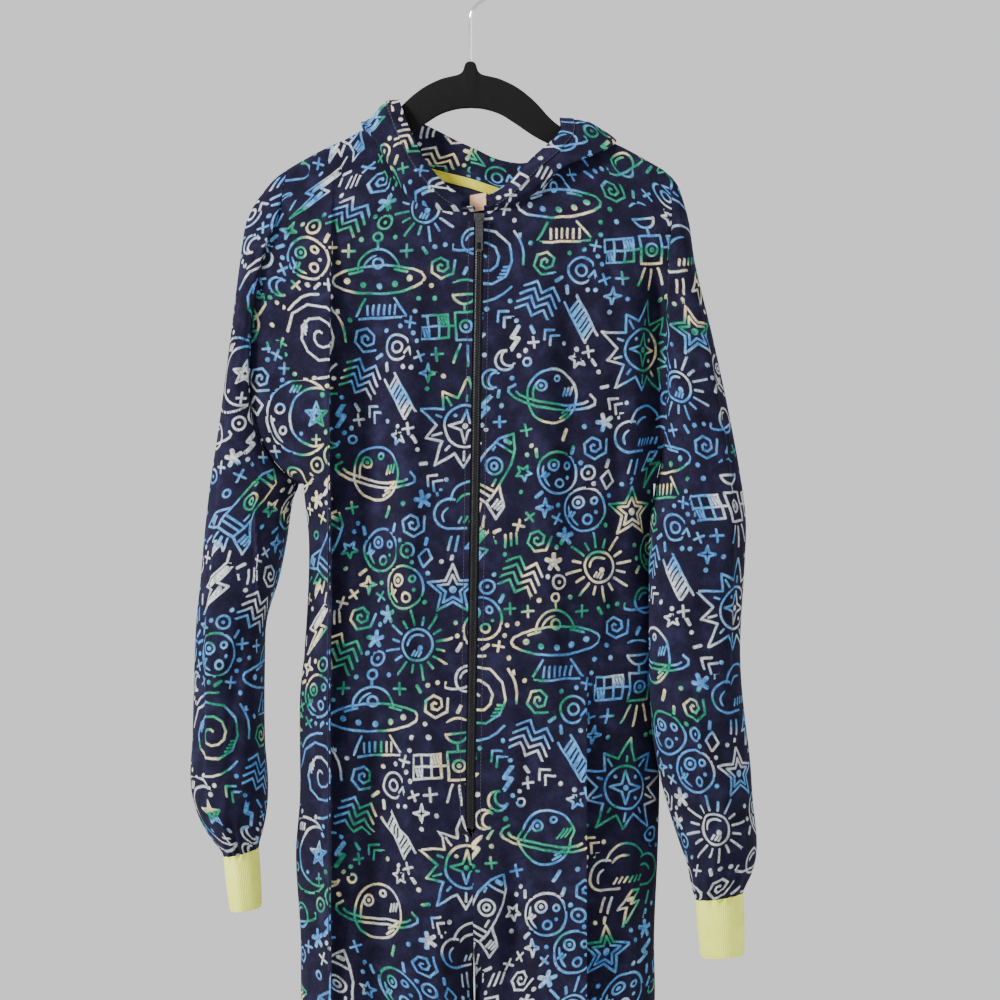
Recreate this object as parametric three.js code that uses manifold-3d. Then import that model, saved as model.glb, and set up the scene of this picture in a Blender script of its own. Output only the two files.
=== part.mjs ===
// A child's hooded fleece onesie pajama that hangs on a flocked hanger.
// Millimetres, +Z up, the front faces -Y, +X is the viewer's right (the wearer's left).
// The origin is the inside top of the hanger's hook, where a rail carries it.
import * as THREE from 'three';
import Module from 'manifold-3d';
import { mergeVertices } from 'three/addons/utils/BufferGeometryUtils.js';

const wasm = await Module();
wasm.setup();

// Cloth and seams.
const WALL = 2.0;
const RIB_WALL = 2.2;
const TAPE_WALL = 1.2;
const SEAM_GAP = 0.3;
const HALF_GAP = SEAM_GAP / 2;
const BODY_SQUARENESS = 2.8;
const SLEEVE_SQUARENESS = 2.3;

// Heights of the garment.
const CHEST_ROW_Z = -248;
const UNDERARM_Z = -452;
const SLEEVE_JOIN_Z = -500;
const SLEEVE_LEAN_Z = -560;
const ZIP_TOP_Z = -219.8;
const ZIP_END_Z = -745;
const ZIP_CLOSED_Z = -752;
const CROTCH_START_Z = -815;
const CROTCH_Z = -905;
const LEG_END_Z = -1478;
const ANKLE_CUFF_LENGTH = 66;
const SHOULDER_ROLL = 7;

// The zip.
const ZIP_HALF_WIDTH = 4.0;
const ZIP_THICKNESS = 2.2;
const ZIP_INSET = 0.2;
const ZIP_COIL_RISE = 0.9;
const SLIDER_WIDTH = 9;
const SLIDER_HEIGHT = 11;
const SLIDER_PLATE = 1.6;
const SLIDER_TOP_Z = -220;
const SLIDER_SHOULDER = 0.45;
const SLIDER_FOOT = 0.62;
const BAIL_Z = SLIDER_TOP_Z - 4.6;
const BAIL_RADIUS = 0.7;
const BAIL_STAND = 2.6;
const BAIL_HALF_SPAN = 2.6;
const BAIL_POST_WIDTH = 1;
const BAIL_POST_HALF_HEIGHT = 0.9;
const BAIL_POST_FRONT = 0.6;
const BAIL_POST_ROOT = 0.4;
const TAB_LENGTH = 29;
const TAB_WIDTH = 6.6;
const TAB_THICKNESS = 1.4;
const TAB_EYE_RADIUS = 1.15;
const TAB_EYE_WALL = 0.9;
const TAB_NECK_LENGTH = 3;
const TAB_SHOULDER_LENGTH = 6;
const TAB_CORNER = 1.6;
const TAB_WINDOW_WIDTH = 3.2;
const TAB_WINDOW_HEIGHT = 5.5;
const TAB_WINDOW_FOOT = 2.6;

// The neck tape and the label.
const TAPE_WIDTH = 9.5;
const TAPE_TOP = 1.2;
const TAPE_CLEAR = 0.3;
const LABEL_WIDTH = 14;
const LABEL_HEIGHT = 15;
const LABEL_THICKNESS = 0.8;
const LABEL_X = 6.5;
const LABEL_TOP_Z = -201.6;
const LABEL_CLEAR = 0.9;
const LABEL_TIP_FORWARD = 1.6;
const LABEL_SLANT = 2.4;

// The hanger.
const HOOK_WIRE_RADIUS = 1.5;
const HOOK_BEND_RADIUS = 20;
const HOOK_THROAT_RADIUS = 17;
const HOOK_TAIL_DEGREES = 200;
const HANGER_HALF_THICKNESS = 3;
const HANGER_EDGE_ROUND = 0.8;
const KNOB_TOP_Z = -87.9;
const KNOB_HALF_WIDTH = 4.2;
const KNOB_FLARE = 3.2;
const KNOB_HEIGHT = 5;

// The outline of the body and legs, from the underarm down, with the half depths of its sections.
const BODY = [
  { z: -140, left: -150, right: 150, centre: 8.0, front: 6.6, back: 6.6 },
  { z: -190, left: -150, right: 150, centre: 7.9, front: 8.6, back: 8.2 },
  { z: -232, left: -145, right: 157, centre: 7.5, front: 13, back: 11.5 },
  { z: -300, left: -144, right: 157, centre: 6.5, front: 21, back: 18 },
  { z: -380, left: -144, right: 157, centre: 5.3, front: 29, back: 24 },
  { z: -452, left: -144, right: 158, centre: 4.3, front: 34, back: 29 },
  { z: -500, left: -139.4, right: 159, centre: 3.6, front: 35, back: 31 },
  { z: -551, left: -140.3, right: 161, centre: 2.8, front: 36, back: 32 },
  { z: -602, left: -143.7, right: 163, centre: 2.1, front: 37, back: 33 },
  { z: -636, left: -147.1, right: 163.5, centre: 1.6, front: 38, back: 33 },
  { z: -721, left: -147.1, right: 163, centre: 0.4, front: 39, back: 34 },
  { z: -772, left: -150.5, right: 161.5, centre: 1.8, front: 40, back: 35 },
  { z: -840, left: -146.6, right: 158.6, centre: 2.8, front: 41, back: 37 },
  { z: -891, left: -146.2, right: 159.3, centre: 3.4, front: 41, back: 38 },
  { z: -950, left: -145, right: 157, centre: 4.0, front: 42, back: 39 },
  { z: -1050, left: -141, right: 152, centre: 4.0, front: 42, back: 39 },
  { z: -1200, left: -135, right: 145, centre: 4.0, front: 40, back: 38 },
  { z: -1350, left: -128, right: 138, centre: 4.0, front: 37, back: 36 },
  { z: -1436, left: -123, right: 133, centre: 4.0, front: 35, back: 34 },
  { z: -1458, left: -118, right: 128, centre: 4.0, front: 33, back: 32 },
  { z: -1472, left: -110, right: 119, centre: 4.0, front: 28, back: 28 },
  { z: -1478, left: -106, right: 115, centre: 4.0, front: 24, back: 24 },
];

// How far each leg's inner side stands off the middle plane.
const INSEAM = [
  { z: -905, stand: 0.15 },
  { z: -950, stand: 2.5 },
  { z: -1100, stand: 8 },
  { z: -1350, stand: 25 },
  { z: -1436, stand: 31 },
  { z: -1458, stand: 37 },
  { z: -1472, stand: 45 },
  { z: -1478, stand: 49 },
];

// The armhole seam seen from the front, for the two sides.
const ARMHOLE = [
  { z: -180.5, left: -157, right: 165 },
  { z: -199, left: -160.7, right: 171.5 },
  { z: -224, left: -164.5, right: 173 },
  { z: -256, left: -176.8, right: 170 },
  { z: -305, left: -186, right: 168.3 },
  { z: -360, left: -188.5, right: 168.2 },
  { z: -398, left: -186, right: 167.5 },
  { z: -424, left: -175.5, right: 165.5 },
  { z: -440, left: -163, right: 163 },
  { z: -452, left: -147, right: 159.5 },
];

// The outer and inner outline of the left and right sleeve of the picture, with their depth.
const SLEEVE_OF_SIDE = {
  left: [
    { z: -180.5, outer: -157, inner: -146, half: 7, lean: 0 },
    { z: -187, outer: -166.5, inner: -146, half: 8, lean: 0 },
    { z: -194, outer: -173.4, inner: -146, half: 9, lean: 0 },
    { z: -211, outer: -186.2, inner: -146, half: 12, lean: 0 },
    { z: -228, outer: -193.8, inner: -146, half: 15, lean: 0 },
    { z: -262, outer: -198.9, inner: -146, half: 21, lean: 0 },
    { z: -330, outer: -207.4, inner: -146, half: 28, lean: 0 },
    { z: -398, outer: -216.2, inner: -146, half: 33, lean: 0 },
    { z: -452, outer: -224.5, inner: -148, half: 35, lean: 0 },
    { z: -466, outer: -226.1, inner: -153, half: 35, lean: 0 },
    { z: -500, outer: -229.5, inner: -158.1, half: 35, lean: -2 },
    { z: -534, outer: -232.1, inner: -164.9, half: 35, lean: -4 },
    { z: -568, outer: -235.5, inner: -175, half: 35, lean: -5 },
    { z: -602, outer: -237.2, inner: -176.8, half: 36, lean: -5 },
    { z: -670, outer: -238.9, inner: -176.8, half: 37, lean: -6 },
    { z: -704, outer: -240.6, inner: -174.3, half: 38, lean: -6 },
    { z: -724, outer: -237, inner: -174.3, half: 37, lean: -6 },
    { z: -742, outer: -228.5, inner: -176, half: 34, lean: -6 },
    { z: -756, outer: -219, inner: -179, half: 31, lean: -6 },
    { z: -764, outer: -213.5, inner: -181.5, half: 28, lean: -6 },
    { z: -768, outer: -212.3, inner: -182, half: 26, lean: -6 },
  ],
  right: [
    { z: -180.5, outer: 165, inner: 158, half: 7, lean: 0 },
    { z: -187, outer: 173, inner: 158, half: 8, lean: 0 },
    { z: -194, outer: 178.5, inner: 158, half: 9, lean: 0 },
    { z: -211, outer: 184.6, inner: 158, half: 12, lean: 0 },
    { z: -228, outer: 188.9, inner: 158, half: 15, lean: 0 },
    { z: -262, outer: 193.8, inner: 158, half: 21, lean: 0 },
    { z: -330, outer: 210, inner: 158, half: 28, lean: 0 },
    { z: -398, outer: 224, inner: 158, half: 33, lean: -4 },
    { z: -452, outer: 233, inner: 161, half: 35, lean: -12 },
    { z: -484, outer: 236, inner: 163.4, half: 35, lean: -18 },
    { z: -520, outer: 234.4, inner: 162.6, half: 35, lean: -24 },
    { z: -585, outer: 230.4, inner: 160.5, half: 35, lean: -27 },
    { z: -619, outer: 231.2, inner: 160.3, half: 36, lean: -27 },
    { z: -653, outer: 234.6, inner: 161.5, half: 37, lean: -26 },
    { z: -687, outer: 238.9, inner: 165, half: 38, lean: -24 },
    { z: -721, outer: 241.4, inner: 169.2, half: 39, lean: -22 },
    { z: -755, outer: 244.8, inner: 178.5, half: 38, lean: -20 },
    { z: -774, outer: 244.4, inner: 185.6, half: 34, lean: -20 },
    { z: -789, outer: 240.6, inner: 188.5, half: 29, lean: -20 },
    { z: -799, outer: 235.5, inner: 191, half: 24, lean: -20 },
    { z: -804, outer: 233.6, inner: 192.6, half: 21.5, lean: -20 },
  ],
};

// The wrist cuffs: their lower end, and how the seam on the sleeve slants.
const WRIST_CUFF_OF_SIDE = {
  left: { length: 48.5, shift: 4.2, slant: 0.24, taper: 0.9 },
  right: { length: 51, shift: 2.6, slant: 0.16, taper: 0.92 },
};

// The top line of the shoulders, by the distance from the middle.
const RIDGE = [
  { x: 0, left: -96, right: -96 },
  { x: 39, left: -105, right: -105 },
  { x: 59, left: -122, right: -122 },
  { x: 74, left: -137.5, right: -137 },
  { x: 93, left: -146.5, right: -145.5 },
  { x: 105, left: -153.6, right: -151 },
  { x: 119, left: -160, right: -156.5 },
  { x: 132, left: -166.3, right: -162 },
  { x: 157, left: -180.5, right: -175.8 },
  { x: 165, left: -187, right: -180.5 },
];

// The neck seam, from the middle to the shoulder seam, for the two sides and faces.
const NECKLINE_OF_SIDE = {
  left: [
    { x: 0, front: -219, back: -187 },
    { x: 20, front: -218, back: -182.5 },
    { x: 40, front: -213, back: -176 },
    { x: 55, front: -202, back: -170 },
    { x: 66, front: -186, back: -164 },
    { x: 76, front: -168, back: -158 },
    { x: 86, front: -153, back: -151.5 },
    { x: 93, front: -146.5, back: -146.5 },
  ],
  right: [
    { x: 0, front: -219, back: -187 },
    { x: 22, front: -217, back: -196.5 },
    { x: 45, front: -208, back: -197 },
    { x: 62, front: -196, back: -187 },
    { x: 76, front: -182, back: -173 },
    { x: 86, front: -168, back: -163 },
    { x: 94, front: -154, back: -153 },
    { x: 100, front: -148.2, back: -148.2 },
  ],
};
const NECK_POINT_X = { left: 93, right: 100 };

// Long folds: where each lies, how wide it is, how far it comes out, and between which heights.
const FRONT_FOLDS = [
  { x: -119, drift: 2, width: 26, rise: 8, top: -172, foot: -1010, shape: 'lap', lapSide: -1 },
  { x: 99.5, drift: 0, width: 46, rise: 8, top: -620, foot: -1040, shape: 'lap', lapSide: -1 },
  { x: 159, drift: -2, width: 9, rise: -9, top: -270, foot: -560, shape: 'soft', lapSide: 0 },
  { x: -76, drift: 0, width: 13, rise: -6, top: -660, foot: -1120, shape: 'soft', lapSide: 0 },
  { x: 38, drift: -4, width: 9, rise: -6, top: -790, foot: -1080, shape: 'soft', lapSide: 0 },
  { x: -52, drift: -6, width: 16, rise: 4, top: -250, foot: -640, shape: 'soft', lapSide: 0 },
  { x: 62, drift: 4, width: 17, rise: 4, top: -240, foot: -700, shape: 'soft', lapSide: 0 },
  { x: -100, drift: 6, width: 12, rise: 6, top: -960, foot: -1440, shape: 'soft', lapSide: 0 },
  { x: 110, drift: -8, width: 13, rise: 6, top: -1000, foot: -1440, shape: 'soft', lapSide: 0 },
  { x: 68, drift: 4, width: 11, rise: -5, top: -1060, foot: -1460, shape: 'soft', lapSide: 0 },
  { x: -52, drift: -4, width: 11, rise: -5, top: -1080, foot: -1460, shape: 'soft', lapSide: 0 },
];
const BACK_FOLDS = [
  { x: -98, drift: 8, width: 17, rise: 7, top: -330, foot: -900, shape: 'soft', lapSide: 0 },
  { x: -60, drift: -4, width: 13, rise: -6, top: -420, foot: -980, shape: 'soft', lapSide: 0 },
  { x: 34, drift: 2, width: 16, rise: 5, top: -480, foot: -860, shape: 'soft', lapSide: 0 },
  { x: 108, drift: -6, width: 16, rise: 7, top: -340, foot: -880, shape: 'soft', lapSide: 0 },
  { x: 74, drift: 4, width: 12, rise: -6, top: -520, foot: -1040, shape: 'soft', lapSide: 0 },
  { x: -84, drift: 4, width: 12, rise: 6, top: -980, foot: -1440, shape: 'soft', lapSide: 0 },
  { x: 96, drift: -6, width: 12, rise: 6, top: -1020, foot: -1440, shape: 'soft', lapSide: 0 },
];

// Folds round the sleeves: the share of the way round the front or back, from the inner side (0)
// to the outer side (1).
const SLEEVE_FOLDS_OF_SIDE = {
  left: [
    { face: 'front', topShare: 0.62, footShare: 0.12, width: 0.15, rise: 6, top: -400, foot: -560 },
    { face: 'front', topShare: 0.72, footShare: 0.6, width: 0.16, rise: 5, top: -500, foot: -750 },
    { face: 'front', topShare: 0.3, footShare: 0.35, width: 0.12, rise: -5, top: -520, foot: -690 },
    { face: 'back', topShare: 0.7, footShare: 0.45, width: 0.16, rise: 5, top: -380, foot: -620 },
    { face: 'back', topShare: 0.35, footShare: 0.4, width: 0.14, rise: -5, top: -540, foot: -730 },
  ],
  right: [
    { face: 'front', topShare: 0.3, footShare: 0.5, width: 0.2, rise: 6, top: -300, foot: -600 },
    { face: 'front', topShare: 0.6, footShare: 0.82, width: 0.14, rise: 5, top: -380, foot: -640 },
    { face: 'front', topShare: 0.5, footShare: 0.4, width: 0.14, rise: -5, top: -600, foot: -770 },
    { face: 'back', topShare: 0.66, footShare: 0.5, width: 0.16, rise: 5, top: -380, foot: -640 },
    { face: 'back', topShare: 0.4, footShare: 0.35, width: 0.14, rise: -5, top: -560, foot: -750 },
  ],
};

// The hood, fallen back: from the neck seam over a crest, down into the bag and up to the face
// edge. A row for each place along the neck seam, from the zip round to the middle of the back.
const HOOD_OF_SIDE = {
  left: [
    {
      place: 0, crestX: -7, crestY: -15, crestZ: -214.5, bagX: -7.5, bagY: -15.5, bagZ: -210.5,
      edgeX: -5, edgeY: -14, edgeZ: -206.5,
    },
    {
      place: 0.1, crestX: -31, crestY: -17, crestZ: -209, bagX: -28, bagY: -18, bagZ: -201,
      edgeX: -22, edgeY: -14.5, edgeZ: -194.5,
    },
    {
      place: 0.2, crestX: -55, crestY: -17, crestZ: -194, bagX: -49, bagY: -18, bagZ: -180,
      edgeX: -40, edgeY: -14, edgeZ: -172.5,
    },
    {
      place: 0.3, crestX: -70, crestY: -14, crestZ: -168, bagX: -63, bagY: -15, bagZ: -153,
      edgeX: -53, edgeY: -12, edgeZ: -145.5,
    },
    {
      place: 0.4, crestX: -83, crestY: -9.5, crestZ: -146, bagX: -72, bagY: -11, bagZ: -133.5,
      edgeX: -59, edgeY: -9.5, edgeZ: -128.5,
    },
    {
      place: 0.5, crestX: -88, crestY: 0, crestZ: -138, bagX: -76, bagY: 0, bagZ: -126.5,
      edgeX: -62, edgeY: 0, edgeZ: -121.5,
    },
    {
      place: 0.6, crestX: -88, crestY: 14, crestZ: -138, bagX: -82, bagY: 31, bagZ: -166,
      edgeX: -66, edgeY: 24, edgeZ: -134,
    },
    {
      place: 0.7, crestX: -76, crestY: 18, crestZ: -142, bagX: -80, bagY: 36, bagZ: -276,
      edgeX: -60, edgeY: 37, edgeZ: -152,
    },
    {
      place: 0.8, crestX: -54, crestY: 20, crestZ: -148, bagX: -68, bagY: 41, bagZ: -372,
      edgeX: -50, edgeY: 47, edgeZ: -176,
    },
    {
      place: 1, crestX: 0, crestY: 22, crestZ: -172, bagX: 0, bagY: 44, bagZ: -432,
      edgeX: 0, edgeY: 55, edgeZ: -208,
    },
  ],
  right: [
    {
      place: 0, crestX: 14.5, crestY: -15, crestZ: -214.5, bagX: 15, bagY: -15.5, bagZ: -210.5,
      edgeX: 13, edgeY: -14, edgeZ: -206.5,
    },
    {
      place: 0.1, crestX: 37, crestY: -17, crestZ: -209, bagX: 36, bagY: -18, bagZ: -201,
      edgeX: 33, edgeY: -14.5, edgeZ: -193.5,
    },
    {
      place: 0.2, crestX: 63, crestY: -17, crestZ: -193, bagX: 60, bagY: -18, bagZ: -182,
      edgeX: 53.6, edgeY: -14, edgeZ: -172,
    },
    {
      place: 0.3, crestX: 85, crestY: -16, crestZ: -178, bagX: 80, bagY: -17, bagZ: -166,
      edgeX: 69, edgeY: -13, edgeZ: -158.5,
    },
    {
      place: 0.4, crestX: 106, crestY: -14, crestZ: -163, bagX: 94, bagY: -14, bagZ: -152.5,
      edgeX: 78, edgeY: -10, edgeZ: -147,
    },
    {
      place: 0.5, crestX: 116, crestY: 0, crestZ: -146.5, bagX: 98, bagY: 0, bagZ: -139.8,
      edgeX: 77, edgeY: 0, edgeZ: -136.5,
    },
    {
      place: 0.6, crestX: 104, crestY: 17, crestZ: -145, bagX: 98, bagY: 33, bagZ: -172,
      edgeX: 78, edgeY: 26, edgeZ: -143,
    },
    {
      place: 0.7, crestX: 82, crestY: 20, crestZ: -158, bagX: 88, bagY: 38, bagZ: -282,
      edgeX: 66, edgeY: 38, edgeZ: -160,
    },
    {
      place: 0.8, crestX: 54, crestY: 20, crestZ: -172, bagX: 72, bagY: 41, bagZ: -374,
      edgeX: 52, edgeY: 47, edgeZ: -182,
    },
    {
      place: 1, crestX: 0.6, crestY: 22, crestZ: -172, bagX: 0.6, bagY: 44, bagZ: -432,
      edgeX: 0.6, edgeY: 55, edgeZ: -208,
    },
  ],
};
const HOOD_TURN_UP = 3.6;
const HOOD_SEAM_LIFT = 3;
const HOOD_STEPS = [0, 0.25, 0.5, 0.58, 0.66, 0.75, 0.84, 0.92, 1];

// The hanger's upper and lower edge by the distance from the middle.
const HANGER_EDGE = [
  { x: 0, upper: -98.5, lower: -127.9 },
  { x: 12, upper: -99.9, lower: -128.8 },
  { x: 26, upper: -103, lower: -133.5 },
  { x: 39, upper: -109.5, lower: -141.5 },
  { x: 50, upper: -117.5, lower: -149.5 },
  { x: 59, upper: -126, lower: -154.5 },
  { x: 74, upper: -142, lower: -161.5 },
  { x: 93, upper: -153.5, lower: -170.5 },
  { x: 119, upper: -165.5, lower: -181.5 },
  { x: 145, upper: -179, lower: -194 },
  { x: 160, upper: -188.5, lower: -201 },
  { x: 165, upper: -193.5, lower: -200.5 },
];

// Where the columns of a panel stand, and how many there are between them.
const FOLD_COLUMN_OF_SIDE = {
  left: [
    { z: -150, x: 119 },
    { z: -500, x: 117 },
    { z: -891, x: 118 },
  ],
  right: [
    { z: -150, x: 140 },
    { z: -300, x: 150 },
    { z: -560, x: 148 },
    { z: -660, x: 99.5 },
    { z: -891, x: 99.5 },
  ],
};
const FOLD_COLUMN_HALF = 2;
const NECK_COLUMN_CROWDING = 1.7;
const FRONT_COLUMNS = { neck: 5, middle: 1, outer: 4 };
const BACK_COLUMNS = { neck: 5, middle: 1, outer: 3 };
const ROLL_DEPTHS = [0, 2.5, 7, 16];
const ROLL_SHARES = [0.34, 0.67];
const PANEL_ROWS = [
  -248, -300, -345, -385, -415, -436, -452, -480, -520, -570, -620, -670, -710, -745, -752, -785,
  -825, -860, -885, -905, -930, -975, -1040, -1110, -1190, -1270, -1350, -1400, -1436, -1458,
  -1472, -1478,
];
const ARMHOLE_POINTS = ROLL_DEPTHS.length + ROLL_SHARES.length + PANEL_ROWS.indexOf(UNDERARM_Z) + 1;
const ARMHOLE_STAND = 0.6;
const RIDGE_NORMAL = { across: 0.4, up: 0.9 };
const SHOULDER_POINT_NORMAL = { across: 0.7, up: 0.7 };
const INSEAM_NORMAL_FALL = 0.3;
const SLEEVE_FAN_SHARES = [0.03, 0.07, 0.13, 0.22, 0.36, 0.55, 0.77, 1];
const SLEEVE_RING_SHARES = [0.14, 0.28, 0.42, 0.56, 0.7, 0.8, 0.88, 0.94, 0.98, 1];

function vector(x, y, z) {
  return new THREE.Vector3(x, y, z);
}

function clamp01(value) {
  return Math.min(1, Math.max(0, value));
}

function ease(from, to, value) {
  const share = clamp01((value - from) / (to - from));
  return share * share * (3 - 2 * share);
}

// Reads one column of a table at a height or distance, on a smooth curve through its rows.
function read(table, key, column, where) {
  const rising = table[table.length - 1][key] > table[0][key];
  const ahead = (row) => (rising ? row[key] > where : row[key] < where);
  let next = table.findIndex(ahead);
  if (next === 0) {
    return table[0][column];
  }
  if (next < 0) {
    return table[table.length - 1][column];
  }
  const slope = (index) => {
    const low = table[Math.max(0, index - 1)];
    const high = table[Math.min(table.length - 1, index + 1)];
    return (high[column] - low[column]) / (high[key] - low[key]);
  };
  const a = table[next - 1];
  const b = table[next];
  const span = b[key] - a[key];
  const s = (where - a[key]) / span;
  const h01 = s * s * (3 - 2 * s);
  const h10 = s * (1 - s) * (1 - s);
  const h11 = s * s * (s - 1);
  return (
    a[column] * (1 - h01) + b[column] * h01 + span * (slope(next - 1) * h10 + slope(next) * h11)
  );
}

// A closed mesh from outer and inner points in rows; ring is true where the rows close.
function wallMesh(name, outer, inner, ring, color) {
  const rows = outer.length;
  const columns = outer[0].length;
  const positions = [];
  const push = (p) => {
    positions.push(p.x, p.y, p.z);
  };
  outer.forEach((row) => row.forEach(push));
  inner.forEach((row) => row.forEach(push));
  const outerAt = (r, c) => r * columns + (c % columns);
  const innerAt = (r, c) => rows * columns + r * columns + (c % columns);
  const faces = [];
  const quad = (a, b, c, d) => {
    faces.push(a, b, c, a, c, d);
  };
  const lastColumn = ring ? columns : columns - 1;
  for (let r = 0; r < rows - 1; r += 1) {
    for (let c = 0; c < lastColumn; c += 1) {
      quad(outerAt(r, c), outerAt(r, c + 1), outerAt(r + 1, c + 1), outerAt(r + 1, c));
      quad(innerAt(r, c), innerAt(r + 1, c), innerAt(r + 1, c + 1), innerAt(r, c + 1));
    }
  }
  for (let c = 0; c < lastColumn; c += 1) {
    quad(outerAt(0, c), innerAt(0, c), innerAt(0, c + 1), outerAt(0, c + 1));
    const r = rows - 1;
    quad(outerAt(r, c), outerAt(r, c + 1), innerAt(r, c + 1), innerAt(r, c));
  }
  if (!ring) {
    for (let r = 0; r < rows - 1; r += 1) {
      quad(outerAt(r, 0), outerAt(r + 1, 0), innerAt(r + 1, 0), innerAt(r, 0));
      const c = columns - 1;
      quad(outerAt(r, c), innerAt(r, c), innerAt(r + 1, c), outerAt(r + 1, c));
    }
  }
  return solid(name, positions, faces, color);
}

// Makes a mesh from flat lists, turned inside out where its volume comes out negative.
function solid(name, positions, faces, color) {
  const geometry = new THREE.BufferGeometry();
  geometry.setAttribute('position', new THREE.Float32BufferAttribute(positions, 3));
  let volume = 0;
  const point = (i) => vector(positions[3 * i], positions[3 * i + 1], positions[3 * i + 2]);
  for (let f = 0; f < faces.length; f += 3) {
    const a = point(faces[f]);
    volume += a.dot(point(faces[f + 1]).cross(point(faces[f + 2])));
  }
  if (volume < 0) {
    faces.reverse();
  }
  geometry.setIndex(faces);
  return namedMesh(name, geometry, color);
}

function namedMesh(name, geometry, color) {
  const mesh = new THREE.Mesh(geometry, new THREE.MeshStandardMaterial({ color }));
  mesh.name = name;
  return mesh;
}

// The directions that stand on a grid of points, all on the side that the guide says is outside.
function gridNormals(points, ring, isOutward) {
  const rows = points.length;
  const columns = points[0].length;
  const normals = points.map((row, r) =>
    row.map((_, c) => {
      const up = points[Math.max(0, r - 1)][c];
      const down = points[Math.min(rows - 1, r + 1)][c];
      const before = ring ? (c + columns - 1) % columns : Math.max(0, c - 1);
      const after = ring ? (c + 1) % columns : Math.min(columns - 1, c + 1);
      const along = points[r][after].clone().sub(points[r][before]);
      return along.cross(down.clone().sub(up)).normalize();
    }),
  );
  const middle = Math.floor(rows / 2);
  const sample = normals[middle][Math.floor(columns / 2)];
  if (!isOutward(sample)) {
    normals.forEach((row) => row.forEach((normal) => normal.negate()));
  }
  return normals;
}

function inward(points, normals, thickness) {
  return points.map((row, r) =>
    row.map((p, c) => p.clone().addScaledVector(normals[r][c], -thickness)),
  );
}

function mirrorSign(side) {
  return side === 'left' ? -1 : 1;
}

function faceSign(face) {
  return face === 'front' ? -1 : 1;
}

// How far the long folds move a point of the body out from its face.
function foldRise(face, x, z) {
  const folds = face === 'front' ? FRONT_FOLDS : BACK_FOLDS;
  return folds.reduce((sum, fold) => {
    const span = fold.top - fold.foot;
    const share = (fold.top - z) / span;
    if (share <= 0 || share >= 1) {
      return sum;
    }
    const strength = ease(0, 0.22, share) * (1 - ease(0.75, 1, share));
    const away = x - (fold.x + fold.drift * share);
    if (fold.shape === 'soft') {
      return sum + fold.rise * strength * Math.exp(-((away / fold.width) ** 2));
    }
    const side = away * fold.lapSide;
    const lap = side < 0 ? 1 - ease(0, FOLD_COLUMN_HALF, -side) : 1;
    const fall = Math.exp(-Math.max(0, side - FOLD_COLUMN_HALF) / fold.width);
    return sum + fold.rise * strength * lap * fall;
  }, 0);
}

function isTrouser(z) {
  return ease(CROTCH_START_Z, CROTCH_Z, z);
}

function outerX(side, z) {
  if (z > UNDERARM_Z) {
    return read(ARMHOLE, 'z', side, z);
  }
  return read(BODY, 'z', side, z);
}

function innerX(side, z) {
  const centre = read(BODY, 'z', 'centre', z);
  const zip = z >= ZIP_END_Z ? 1 : 1 - clamp01((ZIP_END_Z - z) / (ZIP_END_Z - ZIP_CLOSED_Z));
  const open = HALF_GAP + (ZIP_HALF_WIDTH + SEAM_GAP - HALF_GAP) * zip;
  const stand = z > CROTCH_Z ? open : Math.max(HALF_GAP, read(INSEAM, 'z', 'stand', z));
  return centre + mirrorSign(side) * stand;
}

function backInnerX(side, z) {
  const centre = read(BODY, 'z', 'centre', z);
  const middle = centre * ease(-160, -900, z);
  const stand = z > CROTCH_Z ? HALF_GAP : Math.max(HALF_GAP, read(INSEAM, 'z', 'stand', z));
  return middle + mirrorSign(side) * stand;
}

// How much of a quarter turn a panel's section makes: whole at the side seam, less at an armhole.
function turnOf(z) {
  return 0.3 + 0.4 * ease(-215, -340, z) + 0.3 * ease(-400, UNDERARM_Z, z);
}

// A point of the body's face; t runs from the middle (0) to the side seam or armhole (1).
function bodyPoint(side, face, t, z) {
  const inner = face === 'front' ? innerX(side, z) : backInnerX(side, z);
  const outer = outerX(side, Math.min(z, ARMHOLE[0].z));
  const depth = read(BODY, 'z', face, z);
  const turn = turnOf(z) * (Math.PI / 2);
  const wave = Math.sin(turn * t);
  const bodyX = inner + ((outer - inner) * wave) / Math.sin(turn);
  const bodyShape = Math.sqrt(Math.max(0, 1 - wave ** BODY_SQUARENESS));
  const legWave = Math.sin((2 * t - 1) * (Math.PI / 2));
  const legX = (inner + outer) / 2 + ((outer - inner) / 2) * legWave;
  const legShape = Math.sqrt(Math.max(0, 1 - Math.abs(legWave) ** BODY_SQUARENESS));
  const leg = isTrouser(z);
  const x = bodyX + (legX - bodyX) * leg;
  const shape = bodyShape + (legShape - bodyShape) * leg;
  const distance = Math.abs(x);
  const below = Math.max(0, read(RIDGE, 'x', side, distance) - z);
  const roll = Math.sqrt(1 - (1 - clamp01(below / SHOULDER_ROLL)) ** 2);
  const fold = foldRise(face, x, z) * Math.min(1, shape * 1.6) * roll;
  return vector(x, faceSign(face) * (depth * shape * roll + fold), z);
}

// The share t at which a panel's row passes a given distance from the middle plane.
function shareAt(side, face, z, distance) {
  const inner = face === 'front' ? innerX(side, z) : backInnerX(side, z);
  const outer = outerX(side, Math.min(z, ARMHOLE[0].z));
  const turn = turnOf(z) * (Math.PI / 2);
  const reach = clamp01((mirrorSign(side) * distance - inner) / (outer - inner));
  return Math.asin(reach * Math.sin(turn)) / turn;
}

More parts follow.
